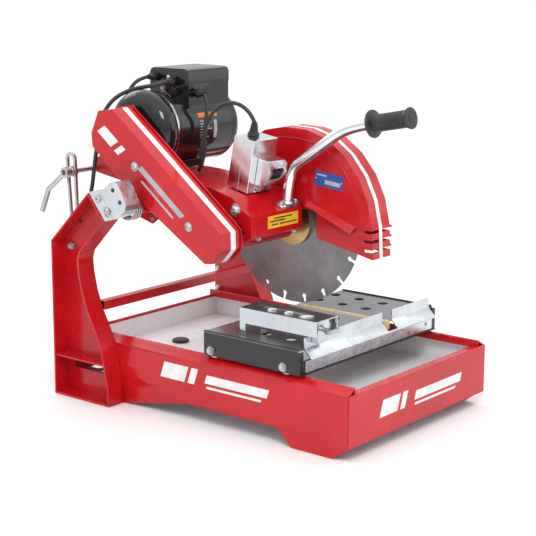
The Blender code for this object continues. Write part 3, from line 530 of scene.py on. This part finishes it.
def slab(name, centre, right, up, size, depth, mat, body, bevel=0.0, slant=0.0):
    """A thin plate: right and up give its plane, depth its thickness along their cross product."""
    r, u = unit(right), unit(up)
    out = r.cross(u)
    corners = ((-0.5, -0.5), (0.5, -0.5), (0.5, 0.5), (-0.5, 0.5))
    rings = [[at(*centre) + r * (a * size[0] + b * slant) + u * b * size[1] + out * d for a, b in corners]
             for d in (0.0, depth)]
    return solid(name, rings, mat, body, bevel)


# ---------------------------------------------------------------- cords
CORD_R = 0.0045
ON_FLOOR = -0.1272
COIL_CENTRE = (0.300, 0.826)
LEAD = [(0.1864, 0.630, 0.545), (0.172, 0.633, 0.5448), (0.150, 0.650, 0.5375), (0.132, 0.691, 0.5280),
        (0.120, 0.728, 0.5095), (0.108, 0.748, 0.484), (0.088, 0.753, 0.450), (0.072, 0.745, 0.425),
        (0.063, 0.734, 0.406), (0.050, 0.724, 0.388)]
DROP = [(0.042, 0.721, 0.362), (0.037, 0.732, 0.300), (0.034, 0.772, 0.240), (0.031, 0.786, 0.190),
        (0.031, 0.786, 0.100), (0.031, 0.786, 0.000), (0.050, 0.790, -0.080), (0.110, 0.800, -0.120),
        (0.175, 0.818, -0.1272)]
SWITCH_ROUTE = [(0.190, 0.395, 0.4468), (0.190, 0.392, 0.472), (0.184, 0.410, 0.500), (0.176, 0.440, 0.512),
                (0.168, 0.475, 0.500), (0.160, 0.500, 0.466), (0.158, 0.512, 0.420), (0.165, 0.522, 0.380),
                (0.180, 0.540, 0.3600)]
MOTOR_ROUTE = [(0.222, 0.5715, 0.520), (0.222, 0.565, 0.5195), (0.221, 0.556, 0.512), (0.218, 0.550, 0.490),
               (0.212, 0.550, 0.440), (0.206, 0.548, 0.400), (0.200, 0.552, 0.3620)]


def step(t, low, high):
    """Zero below low, one above high, eased between."""
    t = min(max((t - low) / (high - low), 0.0), 1.0)
    return t * t * (3 - 2 * t)


def coil_route():
    """In along the floor, in to the inner ring, up on it, out again on top, then over to the plug."""
    cx, cy = COIL_CENTRE
    outer, apart = 0.0541, 0.0092
    turns = 3 + 85 / 360
    count = int(turns * 26)
    points = []
    for i in range(count + 1):
        turn = turns * i / count
        angle = math.radians(200) + 2 * math.pi * turn
        radius = outer - apart * (step(turn, 0.80, 1.0) - step(turn, 2.42, 2.66))
        height = ON_FLOOR + apart * step(turn, 1.80, 2.0)
        points.append(Vector((cx + radius * math.cos(angle), cy + radius * math.sin(angle), height)))

    # an S over to the plug: the heading swings out and back, and the miss at the end is spread over the span
    stride, bend = 0.0015, 0.035
    place, heading, rising, span = points[-1].copy(), math.radians(15), True, []
    while rising or heading > 0:
        heading += (stride / bend) * (1 if rising else -1)
        rising = rising and heading < math.radians(75)
        place = place + Vector((math.cos(heading), math.sin(heading), 0)) * stride
        span.append(place)
    plug_height, lift = -0.1183, 0.0075
    miss = Vector((0.3725, cy, plug_height)) - span[-1]
    for i, place in enumerate(span):
        u = (i + 1) / len(span)
        points.append(place + miss * u + Vector((0, 0, lift * math.sin(math.pi * u) ** 2)))
    points.append(Vector((0.3770, cy, plug_height)))
    return points


def make_power_cord():
    """One piece from the terminal box to the plug, in place of the CAD's lead, cord and coil."""
    main = catmull(LEAD + DROP, 5)
    coil = coil_route()
    run_in = catmull([DROP[-2], DROP[-1], (0.215, 0.822, ON_FLOOR), coil[0], coil[4]], 6)[6:-6]
    points = [at(*p) for p in main[:-1] + run_in[:-1] + coil]
    bm = bmesh.new()
    sweep_bm(bm, points, CORD_R, 10)
    bmesh.ops.recalc_face_normals(bm, faces=bm.faces)
    mesh = bpy.data.meshes.new("power_cord_whole")
    bm.to_mesh(mesh)
    bm.free()
    mesh.materials.append(MATS["rubber"])
    mesh.shade_smooth()
    whole = bpy.data.objects.new("power_cord_whole", mesh)
    bpy.context.scene.collection.objects.link(whole)
    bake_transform(whole)
    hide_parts("power_lead", "power_cord", "cord_coil")


def make_cables():
    for name, route in (("switch_cable", SWITCH_ROUTE), ("motor_cable", MOTOR_ROUTE)):
        path = [at(*p) for p in catmull(route, 6)]
        cable = sweep(name + "_skin", path, 0.0042, MATS["rubber"], "head", 12)
        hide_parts(name)


def make_coil_strap():
    """A strap over the coil, open underneath where the coil lies on the floor."""
    angle = math.radians(160)
    out = Vector((math.cos(angle), math.sin(angle), 0))
    along = Vector((-math.sin(angle), math.cos(angle), 0))
    section = [(0.0398, -0.1316), (0.0398, -0.1120), (0.0592, -0.1120), (0.0592, -0.1316), (0.0604, -0.1316),
               (0.0604, -0.1116), (0.0596, -0.1108), (0.0394, -0.1108), (0.0386, -0.1116), (0.0386, -0.1316)]
    rings = [[at(*COIL_CENTRE, z) + out * r + along * side for r, z in section] for side in (-0.006, 0.006)]
    solid("coil_strap", rings, MATS["grip"], "frame")


# ---------------------------------------------------------------- belt guard
SLOPE = (0.0, -0.7933, -0.6088)
ACROSS = (0.0, -0.6088, 0.7933)


def belt_guard_details():
    face = 0.0200
    rim = [(0.640, 0.498), (0.339, 0.267), (0.338, 0.231), (0.363, 0.203), (0.372, 0.2022)]
    ribbon("guard_stripe", rim, 0.0500, 0.0650, 0.0003, 0.0006, MATS["white"], "head")
    for i, (y, z) in enumerate(((0.5756, 0.3825), (0.4255, 0.2727))):
        dome_bolt("guard_bolt_%d" % i, (face, y, z), (-1, 0, 0), 0.0072, "head")
    for name, y, z, size, mat, slant in (("mark_a", 0.654, 0.440, (0.050, 0.024), "white", 0.010),
                                         ("mark_b", 0.619, 0.4135, (0.014, 0.024), "white", 0.010),
                                         ("bar_a", 0.5020, 0.3365, (0.150, 0.0125), "silver", 0.006),
                                         ("bar_b", 0.5130, 0.3200, (0.112, 0.0050), "silver", 0.003)):
        slab("guard_" + name, (face, y, z), SLOPE, ACROSS, size, 0.0006, MATS[mat], "head", slant=slant)


# ---------------------------------------------------------------- pan
def pan_marks():
    """Slanted blank bars where the photo has lettering, on the front and on the left side."""
    for name, x, z, size, slant in (("mark", 0.135, -0.049, (0.060, 0.034), 0.012),
                                    ("mark_tip", 0.183, -0.049, (0.016, 0.034), 0.012),
                                    ("bar_mark", 0.308, -0.049, (0.170, 0.018), 0.006),
                                    ("line_mark", 0.297, -0.0665, (0.150, 0.005), 0.002)):
        slab("front_" + name, (x, 0.0, z), (1, 0, 0), (0, 0, 1), size, 0.0005, MATS["white"], "frame",
             slant=slant)
    for name, y, z, size, slant in (("mark", 0.452, -0.034, (0.068, 0.034), 0.012),
                                    ("mark_tip", 0.400, -0.034, (0.018, 0.034), 0.012),
                                    ("bar_mark", 0.282, -0.034, (0.165, 0.018), 0.006),
                                    ("line_mark", 0.290, -0.0515, (0.145, 0.005), 0.002)):
        slab("side_" + name, (0.0, y, z), (0, -1, 0), (0, 0, 1), size, 0.0005, MATS["white"], "frame",
             slant=slant)


def pan_details():
    for i, z in enumerate((0.060, 0.012)):
        hex_bolt("upright_bolt_%d" % i, (PAN_WIDTH - 0.0004, 0.7600, z), (-1, 0, 0), 0.0062, "frame")
        hex_bolt("upright_bolt_left_%d" % i, (0.0005, 0.7560, z), (1, 0, 0), 0.0062, "frame")
    for x in (0.010, PAN_WIDTH - 0.010):
        seam = [(x - 0.0008, 0.010), (x + 0.0008, 0.010), (x + 0.0008, 0.757), (x - 0.0008, 0.757)]
        prism("tray_seam_%d" % round(x * 100), seam, "Z", -0.0503, -0.0494, MATS["tray"], "frame")

    # the rolled lip runs round three sides, in short steps on the long stretches
    edge, cut, height = 0.0012, 0.014, -0.0020
    corners = [(edge, 0.752), (edge, cut), (cut, edge), (PAN_WIDTH - cut, edge), (PAN_WIDTH - edge, cut),
               (PAN_WIDTH - edge, 0.752)]
    route = []
    for a, b in zip(corners, corners[1:]):
        steps = 24 if (Vector(a) - Vector(b)).length > 0.1 else 3
        route += [at(a[0] + (b[0] - a[0]) * k / steps, a[1] + (b[1] - a[1]) * k / steps, height)
                  for k in range(steps)]
    sweep("pan_lip", route + [at(*corners[-1], height)], 0.0026, MATS["red"], "frame", 10)
    cap = [(0.0056, 0.0), (0.0056, 0.0150), (0.0072, 0.0144), (0.0078, 0.0120), (0.0066, 0.0100),
           (0.0066, 0.0)]
    revolve("plug_cap", cap, (0.228, 0.646, -0.052), (0, 0, 1), MATS["rubber"], "drain", 32, smooth=40)


# ---------------------------------------------------------------- pivot and lock
def pivot_details():
    face = -0.0430
    for i, (y, z) in enumerate(((0.6213, 0.3175), (0.5975, 0.2955))):
        dome_bolt("bracket_bolt_%d" % i, (face, y, z), (-1, 0, 0), 0.0066, "frame")
        dome_bolt("bracket_bolt_right_%d" % i, (PAN_WIDTH - face, y, z), (1, 0, 0), 0.0066, "frame")
    ring = [(0.0, 0.0), (0.0, 0.0048), (0.0006, 0.0046), (0.0006, 0.0034), (0.0002, 0.0030), (0.0002, 0.0)]
    for i, (y, z) in enumerate(((0.5784, 0.3402), (0.5586, 0.3165), (0.5817, 0.3250), (0.5591, 0.3010))):
        revolve("bracket_socket_%d" % i, ring, (face, y, z), (-1, 0, 0), MATS["ink" if i < 2 else "zinc"],
                "frame", 18, smooth=40)
    crease = [(0.6150, 0.3310), (0.5800, 0.2830), (0.5812, 0.2822), (0.6162, 0.3302)]
    prism("bracket_joint", crease, "X", face - 0.0004, face + 0.0004, MATS["silver"], "frame")
    make_spring()
    hex_bolt("head_lug_bolt", (0.0795, 0.585, 0.264), (-1, 0, 0), 0.0050, "head")
    hex_bolt("stud_nut", (0.0826, 0.750, 0.358), (1, 0, 0), 0.0085, "head")
    hex_bolt("link_nut", (-0.0127, 0.742, 0.198), (-1, 0, 0), 0.0060, "frame")
    dome_bolt("upright_hole_plug", (-0.0046, 0.7183, 0.2530), (-1, 0, 0), 0.0030, "frame", MATS["ink"])


def make_spring():
    """The lift spring's wire: its turns round the pivot, then a leg down."""
    count, turns, radius = 160, 4.5, 0.0225
    points = []
    for i in range(count + 1):
        angle = math.radians(200) - 2 * math.pi * turns * i / count
        points.append(at(0.0085 + 0.0300 * i / count, PIVOT[0] + radius * math.cos(angle),
                         PIVOT[1] + radius * math.sin(angle)))
    last = points[-1]
    points.append(last + Vector((0.0005, 0.0034, -0.0094)))
    points.append(last + Vector((0.0005, 0.0070, -0.0200)))
    spring = sweep("spring_wire", points, 0.0026, MATS["steel"], "frame", 10)
    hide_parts("torsion_spring")


# ---------------------------------------------------------------- motor
def motor_turned(name, profile, mat, steps, smooth=35):
    return revolve(name, profile, (0, *MOTOR), (1, 0, 0), MATS[mat], "head", steps, smooth=smooth)


def motor_skins():
    """The motor's turned shells again, finer and with rolled edges."""
    wall, groove, bore = 0.0808, 0.0802, 0.0722
    shells = {
        "motor_drive_end": [(0.0940, 0.0121), (0.0940, 0.050), (0.0952, 0.0590), (0.0980, 0.0700),
                            (0.1020, 0.0772), (0.1080, 0.0830), (0.1140, 0.0862), (0.1210, 0.0879),
                            (0.1280, 0.0879), (0.1340, 0.0868), (0.1390, 0.0842), (0.1440, 0.0815),
                            (0.1498, 0.0815), (0.1500, 0.0813), (0.1500, 0.060), (0.110, 0.056),
                            (0.106, 0.0121)],
        "motor_barrel": [(0.1504, bore), (0.1504, wall), (0.1560, wall), (0.1565, groove), (0.1600, groove),
                         (0.1605, wall), (0.3225, wall), (0.3230, groove), (0.3262, groove), (0.3267, wall),
                         (0.3340, wall), (0.3340, bore), (0.3000, bore), (0.3000, 0.0422), (0.2000, 0.0422),
                         (0.2000, bore)],
        "motor_fan_end": [(0.3344, 0.0), (0.3344, wall), (0.3372, wall), (0.3420, 0.0796), (0.3470, 0.0768),
                          (0.3518, 0.0722), (0.3550, 0.0650), (0.3572, 0.0555), (0.3580, 0.0440),
                          (0.3578, 0.0400), (0.3568, 0.0392), (0.3560, 0.0380), (0.3572, 0.0360),
                          (0.3580, 0.0340), (0.3580, 0.0)],
    }
    for name, profile in shells.items():
        skin = motor_turned(name + "_skin", profile, "black", 96, smooth=40)
        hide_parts(name)


def motor_details():
    # painted highlight: a polished band on the black bell's edge where it meets the barrel, in place of the
    # edge's bright gleam
    ring = [(0.1452, 0.0816), (0.1452, 0.0834), (0.1498, 0.0834), (0.1498, 0.0816)]
    motor_turned("motor_edge_highlight_band", ring, "polished", 64)
    for i, x in enumerate((0.1560, 0.3270)):
        band = [(x, 0.0801), (x, 0.0809), (x + 0.0030, 0.0809), (x + 0.0030, 0.0801)]
        motor_turned("motor_band_%d" % i, band, "black", 64)
    cradle = [(0.604, 0.3572), (0.604, 0.3740), (0.612, 0.3740), (0.630, 0.3660), (0.672, 0.3650),
              (0.690, 0.3720), (0.698, 0.3720), (0.698, 0.3590)]
    prism("motor_cradle", cradle, "X", 0.165, 0.262, MATS["black"], "head", 0.0015)
    for i, x in enumerate((0.178, 0.249)):
        hex_bolt("cradle_bolt_%d" % i, (x, 0.608, 0.3742), (0, 0, 1), 0.0048, "head")


def terminal_box_details():
    dome_bolt("box_screw_a", (0.1998, 0.6462, 0.5526), (-1, 0, 0), 0.0040, "head")
    hex_bolt("box_screw_b", (0.1998, 0.6620, 0.5290), (-1, 0, 0), 0.0048, "head")
    lid = [(0.7008, 0.520), (0.7008, 0.5625), (0.6966, 0.5702), (0.6884, 0.5729), (0.5976, 0.5729),
           (0.5894, 0.5702), (0.5852, 0.5625), (0.5852, 0.540), (0.5862, 0.540), (0.5862, 0.562),
           (0.5902, 0.5693), (0.598, 0.5720), (0.688, 0.5720), (0.6958, 0.5693), (0.6998, 0.562),
           (0.6998, 0.520)]
    prism("box_lid", lid, "X", 0.1990, 0.3310, MATS["black"], "head", 0.0003)
    nut = [(-0.0070, 0.0089), (-0.0070, 0.0104), (-0.0015, 0.0104), (-0.0008, 0.0089)]
    boot = [(0.0, 0.0043), (0.0, 0.0080), (0.0050, 0.0068), (0.0056, 0.0058), (0.0080, 0.0058),
            (0.0086, 0.0050), (0.0110, 0.0050), (0.0110, 0.0043)]
    for i, (mouth, outward) in enumerate((((0.1870, 0.685, 0.553), (-1, 0, 0)),
                                          ((0.1870, 0.630, 0.545), (-1, 0, 0)),
                                          ((0.222, 0.572, 0.520), (0, -1, 0)))):
        bm = bmesh.new()
        revolve_bm(bm, nut, mouth, outward, 8)
        revolve_bm(bm, boot, mouth, outward, 20)
        bmesh.ops.recalc_face_normals(bm, faces=bm.faces)
        finish_piece("gland_%d" % i, bm, MATS["grip"], "head", 35)
    stub = [(0.1880, 0.685, 0.553), (0.170, 0.688, 0.552), (0.150, 0.698, 0.542), (0.138, 0.708, 0.520),
            (0.134, 0.7150, 0.492)]
    sweep("box_cable", [at(*p) for p in catmull(stub, 6)], 0.0040, MATS["rubber"], "head", 12)
    wire = [(0.1992, 0.662, 0.534), (0.188, 0.655, 0.534), (0.176, 0.636, 0.5248), (0.170, 0.612, 0.5145)]
    sweep("earth_wire", [at(*p) for p in catmull(wire, 6)], 0.0011, MATS["copper"], "head", 8)


# ---------------------------------------------------------------- arm, switch and handle
def arm_details():
    slab("arm_label", (0.2080, 0.3300, 0.2720), (1, 0, 0), (0, 0, 1), (0.100, 0.0260), 0.0005,
         MATS["label_yellow"], "head")
    for i, (x, z, width) in enumerate(((0.208, 0.2792, 0.060), (0.190, 0.2735, 0.050),
                                       (0.225, 0.2660, 0.056), (0.180, 0.2660, 0.020))):
        slab("label_line_%d" % i, (x, 0.3295, z), (1, 0, 0), (0, 0, 1), (width, 0.0028), 0.0002, MATS["ink"],
             "head")
    dome_bolt("arm_bolt", (0.1050, 0.3724, 0.3020), (-1, 0, 0), 0.0098, "head")
    hex_bolt("arm_nut_a", (0.146, 0.3450, 0.2392), (0, -0.447, -0.894), 0.0052, "head")
    hex_bolt("arm_nut_b", (0.262, 0.3450, 0.2392), (0, -0.447, -0.894), 0.0052, "head")


HANDLE_X = 0.240


def handle_foot():
    """A rounded flange that lies on the arm's sloping end, with a weld bead and two bolts."""
    slope = math.atan2(0.303 - 0.292, 0.358 - 0.330)
    c, s = math.cos(slope), math.sin(slope)
    half_width, half_height, roundness = 0.0330, 0.0135, 0.7
    outline = []
    for k in range(28):
        a = 2 * math.pi * k / 28
        outline.append((half_width * math.copysign(abs(math.cos(a)) ** roundness, math.cos(a)),
                        half_height * math.copysign(abs(math.sin(a)) ** roundness, math.sin(a))))
    rings = [[at(HANDLE_X + u, 0.3440 + v * c - depth * s, 0.2977 + v * s + depth * c) for u, v in outline]
             for depth in (0.0003, 0.0058)]
    solid("handle_flange", rings, MATS["zinc"], "head", 0.0008)
    weld = [(0.0, 0.0116), (0.0, 0.0160), (0.0022, 0.0152), (0.0060, 0.0124), (0.0060, 0.0116)]
    revolve("handle_weld", weld, (HANDLE_X, 0.3430, 0.3030), (0, -0.10, 1), MATS["zinc"], "head", 28)
    for i, dx in enumerate((-0.0240, 0.0240)):
        hex_bolt("handle_bolt_%d" % i, (HANDLE_X + dx, 0.3422, 0.3032), (0, -s, c), 0.0056, "head")


def handle_details():
    handle_foot()
    spine = [(0.3455, 0.3035), (0.343, 0.325), (0.338, 0.352), (0.332, 0.369), (0.320, 0.385), (0.300, 0.399),
             (0.243, 0.438), (0.215, 0.456), (0.191, 0.468), (0.160, 0.478), (0.128, 0.485), (0.052, 0.500)]
    route = catmull([(HANDLE_X, y, z) for y, z in spine], 7)
    tube = sweep("handle_tube_skin", [at(*p) for p in route], 0.0115, MATS["chrome"], "head", 32)
    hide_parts("handle_tube")

    # the grip: a collar, grooves along the tube and a flared end with a cap
    lean = math.atan2(0.015, 0.076)
    start, along = (HANDLE_X, 0.128, 0.485), (0, -math.cos(lean), math.sin(lean))
    profile = [(0.0005, 0.0119), (0.0005, 0.0262), (0.0015, 0.0283), (0.0035, 0.0286), (0.0050, 0.0278),
               (0.0062, 0.0240), (0.0085, 0.0176)]
    x = 0.0100
    while x < 0.0830:
        profile += [(x, 0.0178), (x + 0.0010, 0.0166), (x + 0.0026, 0.0166), (x + 0.0036, 0.0178)]
        x += 0.0062
    profile += [(0.0850, 0.0180), (0.0900, 0.0205), (0.0930, 0.0219), (0.0950, 0.0214), (0.0954, 0.0190),
                (0.0954, 0.0119)]
    grip = revolve("handle_grip_skin", profile, start, along, MATS["grip"], "head", 40, smooth=45)
    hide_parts("handle_grip")
    cap = [(0.0860, 0.0), (0.0860, 0.0118), (0.0952, 0.0118), (0.0964, 0.0100), (0.0970, 0.0060),
           (0.0972, 0.0)]
    revolve("handle_cap", cap, start, along, MATS["grip"], "head", 28)


def switch_details():
    boot = [(0.0, 0.0044), (0.0, 0.0120), (0.0020, 0.0126), (0.0050, 0.0126), (0.0056, 0.0104)]
    x = 0.0062
    r = 0.0098
    while x < 0.0250:
        boot += [(x, r), (x + 0.0018, r), (x + 0.0020, r - 0.0022), (x + 0.0032, r - 0.0022)]
        x += 0.0036
        r -= 0.0006
    boot += [(x, r - 0.0010), (x, 0.0044)]
    revolve("switch_boot", boot, (0.190, 0.3953, 0.4466), (0.0, -0.12, 0.993), MATS["grip"], "head", 28)
    outward = (0, -0.985, -0.174)
    hex_bolt("switch_bolt_a", (0.1745, 0.3367, 0.3880), outward, 0.0042, "head")
    hex_bolt("switch_bolt_b", (0.2215, 0.3367, 0.3880), outward, 0.0042, "head")
    hex_bolt("switch_bolt_c", (0.1800, 0.3782, 0.3370), outward, 0.0050, "head")
    slab("switch_seam", (0.1500, 0.3968, 0.3870), (0, -0.18, 0.984), (0, 0.984, 0.18), (0.108, 0.0008),
         0.0004, MATS["silver"], "head")


# ---------------------------------------------------------------- blade guard
def data_plate():
    """A blank blue plate with two bars and two rivets, tilted as it is in the photo."""
    right, up = (0, -1, -0.10), (0, -0.10, 1)

    def on_plate(x, u, v):
        return x, 0.2652 + u, 0.3525 + v + u * 0.1

    slab("data_plate", (0.2800, 0.2652, 0.3525), right, up, (0.0740, 0.0315), 0.0007, MATS["label_blue"],
         "head", 0.0002)
    for i, (u, v, size) in enumerate(((0.018, 0.0085, (0.026, 0.0040)), (-0.010, -0.0045, (0.040, 0.0085)))):
        slab("plate_line_%d" % i, on_plate(0.2792, u, v), right, up, size, 0.0003, MATS["silver"], "head")
    for i, u in enumerate((0.033, -0.033)):
        dome_bolt("plate_rivet_%d" % i, on_plate(0.2793, u, 0.0), (-1, 0, 0), 0.0016, "head")


def blade_guard_details():
    face, far_face = 0.2801, 0.3449
    rim = [(0.385, 0.457), (0.325, 0.455), (0.272, 0.440), (0.226, 0.408), (0.190, 0.366), (0.166, 0.318),
           (0.153, 0.262), (0.150, 0.197)]
    ribbon("hood_stripe", rim, 0.3040, 0.3150, 0.0003, 0.0006, MATS["white"], "head")
    data_plate()

    # a rib whose two ends are triangles, with the ridge standing out of the face
    ridge = 0.2660
    ends = [[at(face, 0.3190, 0.3030), at(ridge, 0.3190, 0.2960), at(face, 0.3160, 0.2900)],
            [at(face, 0.1920, 0.2630), at(ridge, 0.2000, 0.2480), at(face, 0.2080, 0.2480)]]
    solid("hood_rib", ends, MATS["red"], "head", 0.0010, smooth=30)
    for i in range(3):
        z = 0.2120 + i * 0.020
        lip = [(0.1500, z + 0.0060), (0.1900, z + 0.0060), (0.1860, z + 0.0100), (0.1500, z + 0.0105)]
        prism("hood_louvre_%d" % i, lip, "X", 0.2770, face, MATS["red"], "head", 0.0010)
        prism("hood_louvre_far_%d" % i, lip, "X", far_face, 0.3478, MATS["red"], "head", 0.0010)
    contour = [(0.530, 0.330), (0.500, 0.380), (0.450, 0.422), (0.385, 0.434), (0.325, 0.432), (0.278, 0.418),
               (0.240, 0.390), (0.210, 0.352), (0.190, 0.308), (0.180, 0.262)]
    bead = catmull([(face, y, z) for y, z in contour], 5)
    sweep("hood_bead", [at(*p) for p in bead], 0.0018, MATS["red"], "head", 8)
    for i, (y, z) in enumerate(((0.500, 0.300), (0.470, 0.400), (0.350, 0.405))):
        hex_bolt("hood_bolt_%d" % i, (0.3451, y, z), (1, 0, 0), 0.0052, "head")


# ---------------------------------------------------------------- cart
def cart_details():
    for i, y in enumerate((0.166, 0.355)):
        for side, x, d in (("left", 0.0016, -1), ("right", PAN_WIDTH - 0.0016, 1)):
            hex_bolt("axle_head_%s_%d" % (side, i), (x, y, 0.0272), (d, 0, 0), 0.0050, "cart")
            washer = [(0.0, 0.0080), (0.0, 0.0092), (0.0012, 0.0092), (0.0012, 0.0080)]
            revolve("axle_washer_%s_%d" % (side, i), washer, (x - d * 0.0048, y, 0.0272), (d, 0, 0),
                    MATS["steel"], "cart", 24)
    for i, x in enumerate((0.032, 0.138, 0.240, 0.345, 0.440)):
        dome_bolt("bar_screw_%d" % i, (x, 0.1200, 0.0350), (0, -1, 0), 0.0034, "cart")
    foot = [(0.012, 0.0165), (0.012, 0.0200), (0.474, 0.0200), (0.474, 0.0165)]
    prism("cart_lip", foot, "Y", 0.1180, 0.1238, MATS["black"], "cart", 0.0006)
    rim = [(0.1330, 0.0655), (0.1330, 0.0682), (0.3744, 0.0682), (0.3744, 0.0655)]
    inner, outer = 0.0088, 0.0070
    prism("cart_edge_left", rim, "X", outer, inner, MATS["black"], "cart", 0.0004)
    prism("cart_edge_right", rim, "X", PAN_WIDTH - inner, PAN_WIDTH - outer, MATS["black"], "cart", 0.0004)


def guide_details():
    """The nut, the wire ring and two white crescents on the clamp, which are painted reflections of the
    blade's teeth in its glossy top.
    """
    nut = [(0.0, 0.0), (0.0, 0.0060), (0.0035, 0.0060), (0.0035, 0.0)]
    revolve("guide_nut", nut, (0.066, 0.1280, 0.1000), (0, 1, 0), MATS["steel"], "guide", 6)
    middle = 0.0560
    ring = []
    for k in range(40):
        a = 2 * math.pi * k / 40
        ring.append(at(middle + 0.0130 * math.cos(a) * 0.7 - 0.0045 * math.sin(a),
                       0.1480 - 0.0100 * math.cos(a), 0.1228))
    sweep("guide_ring", ring + [ring[0] + Vector((0, -0.0001, 0))], 0.0012, MATS["steel"], "guide", 8)

    def thickness(t):
        return 0.0006 + 0.0016 * math.sin(math.pi * t)

    # painted reflection: white crescents where the blade's teeth show mirrored in the guide's glossy top
    for i, y in enumerate((0.2329, 0.1900)):
        crescent = []
        for k in range(25):
            a = math.radians(-20 + 220 * k / 24)
            crescent.append(at(middle + 0.0085 * math.cos(a), y + 0.0085 * math.sin(a), 0.1222))
        sweep("guide_glint_painted_%d" % i, crescent, thickness, MATS["white"], "guide", 8)


def barrel_patch(name, x0, x1, a0, a1, mat, thick):
    """A thin patch wrapped on the motor's barrel from x0 to x1 and from angle a0 to a1."""
    radius, steps = 0.0812, 12
    bm = bmesh.new()
    rows = []
    for k in range(steps + 1):
        a = math.radians(a0 + (a1 - a0) * k / steps)
        row = []
        for x, r in ((x0, radius), (x1, radius), (x1, radius + thick), (x0, radius + thick)):
            row.append(bm.verts.new(at(x, MOTOR[0] + r * math.cos(a), MOTOR[1] + r * math.sin(a))))
        rows.append(row)
    for k in range(steps):
        for q in range(4):
            m = (q + 1) % 4
            bm.faces.new((rows[k][q], rows[k][m], rows[k + 1][m], rows[k + 1][q]))
    bm.faces.new(rows[0])
    bm.faces.new(rows[-1])
    bmesh.ops.recalc_face_normals(bm, faces=bm.faces)
    finish_piece(name, bm, MATS[mat], "head", 40)


def motor_labels():
    """A plain orange patch, and bare bars for print."""
    barrel_patch("motor_patch", 0.2150, 0.2760, 155, 162, "label_orange", 0.0004)
    for i in range(7):
        end = 0.2300 + 0.0080 * ((i * 5) % 4)
        barrel_patch("motor_print_%d" % i, 0.2180, end, 167 + 4.2 * i, 168.6 + 4.2 * i, "silver", 0.0002)
    barrel_patch("motor_print_tall", 0.2620, 0.2720, 168, 196, "silver", 0.0002)


# the CAD nodes that are shown again with rounded edges, and how wide the rounding is
ROUNDED = {
    "belt_guard_cover": 0.0014, "blade_guard": 0.0012, "head_arm": 0.0016, "left_upright": 0.0009,
    "right_upright": 0.0009, "pan_frame": 0.0008, "left_pivot_bracket": 0.0012,
    "right_pivot_bracket": 0.0012, "switch_box": 0.0014, "switch_shroud": 0.0010, "cart_frame": 0.0007,
    "cart_table": 0.0005, "fence": 0.0007, "front_bar": 0.0007, "guide_channel": 0.0009,
    "guide_clamp": 0.0008, "cross_bar": 0.0012, "terminal_box": 0.0010, "arbor_nut": 0.0008,
}

make_camera()
make_materials()
make_power_cord()
make_cables()
make_coil_strap()
make_studio()
paint_nodes()
for part, width in ROUNDED.items():
    refine(part, width)
belt_guard_details()
pan_marks()
pan_details()
pivot_details()
motor_skins()
motor_details()
terminal_box_details()
motor_labels()
arm_details()
handle_details()
switch_details()
blade_guard_details()
cart_details()
guide_details()
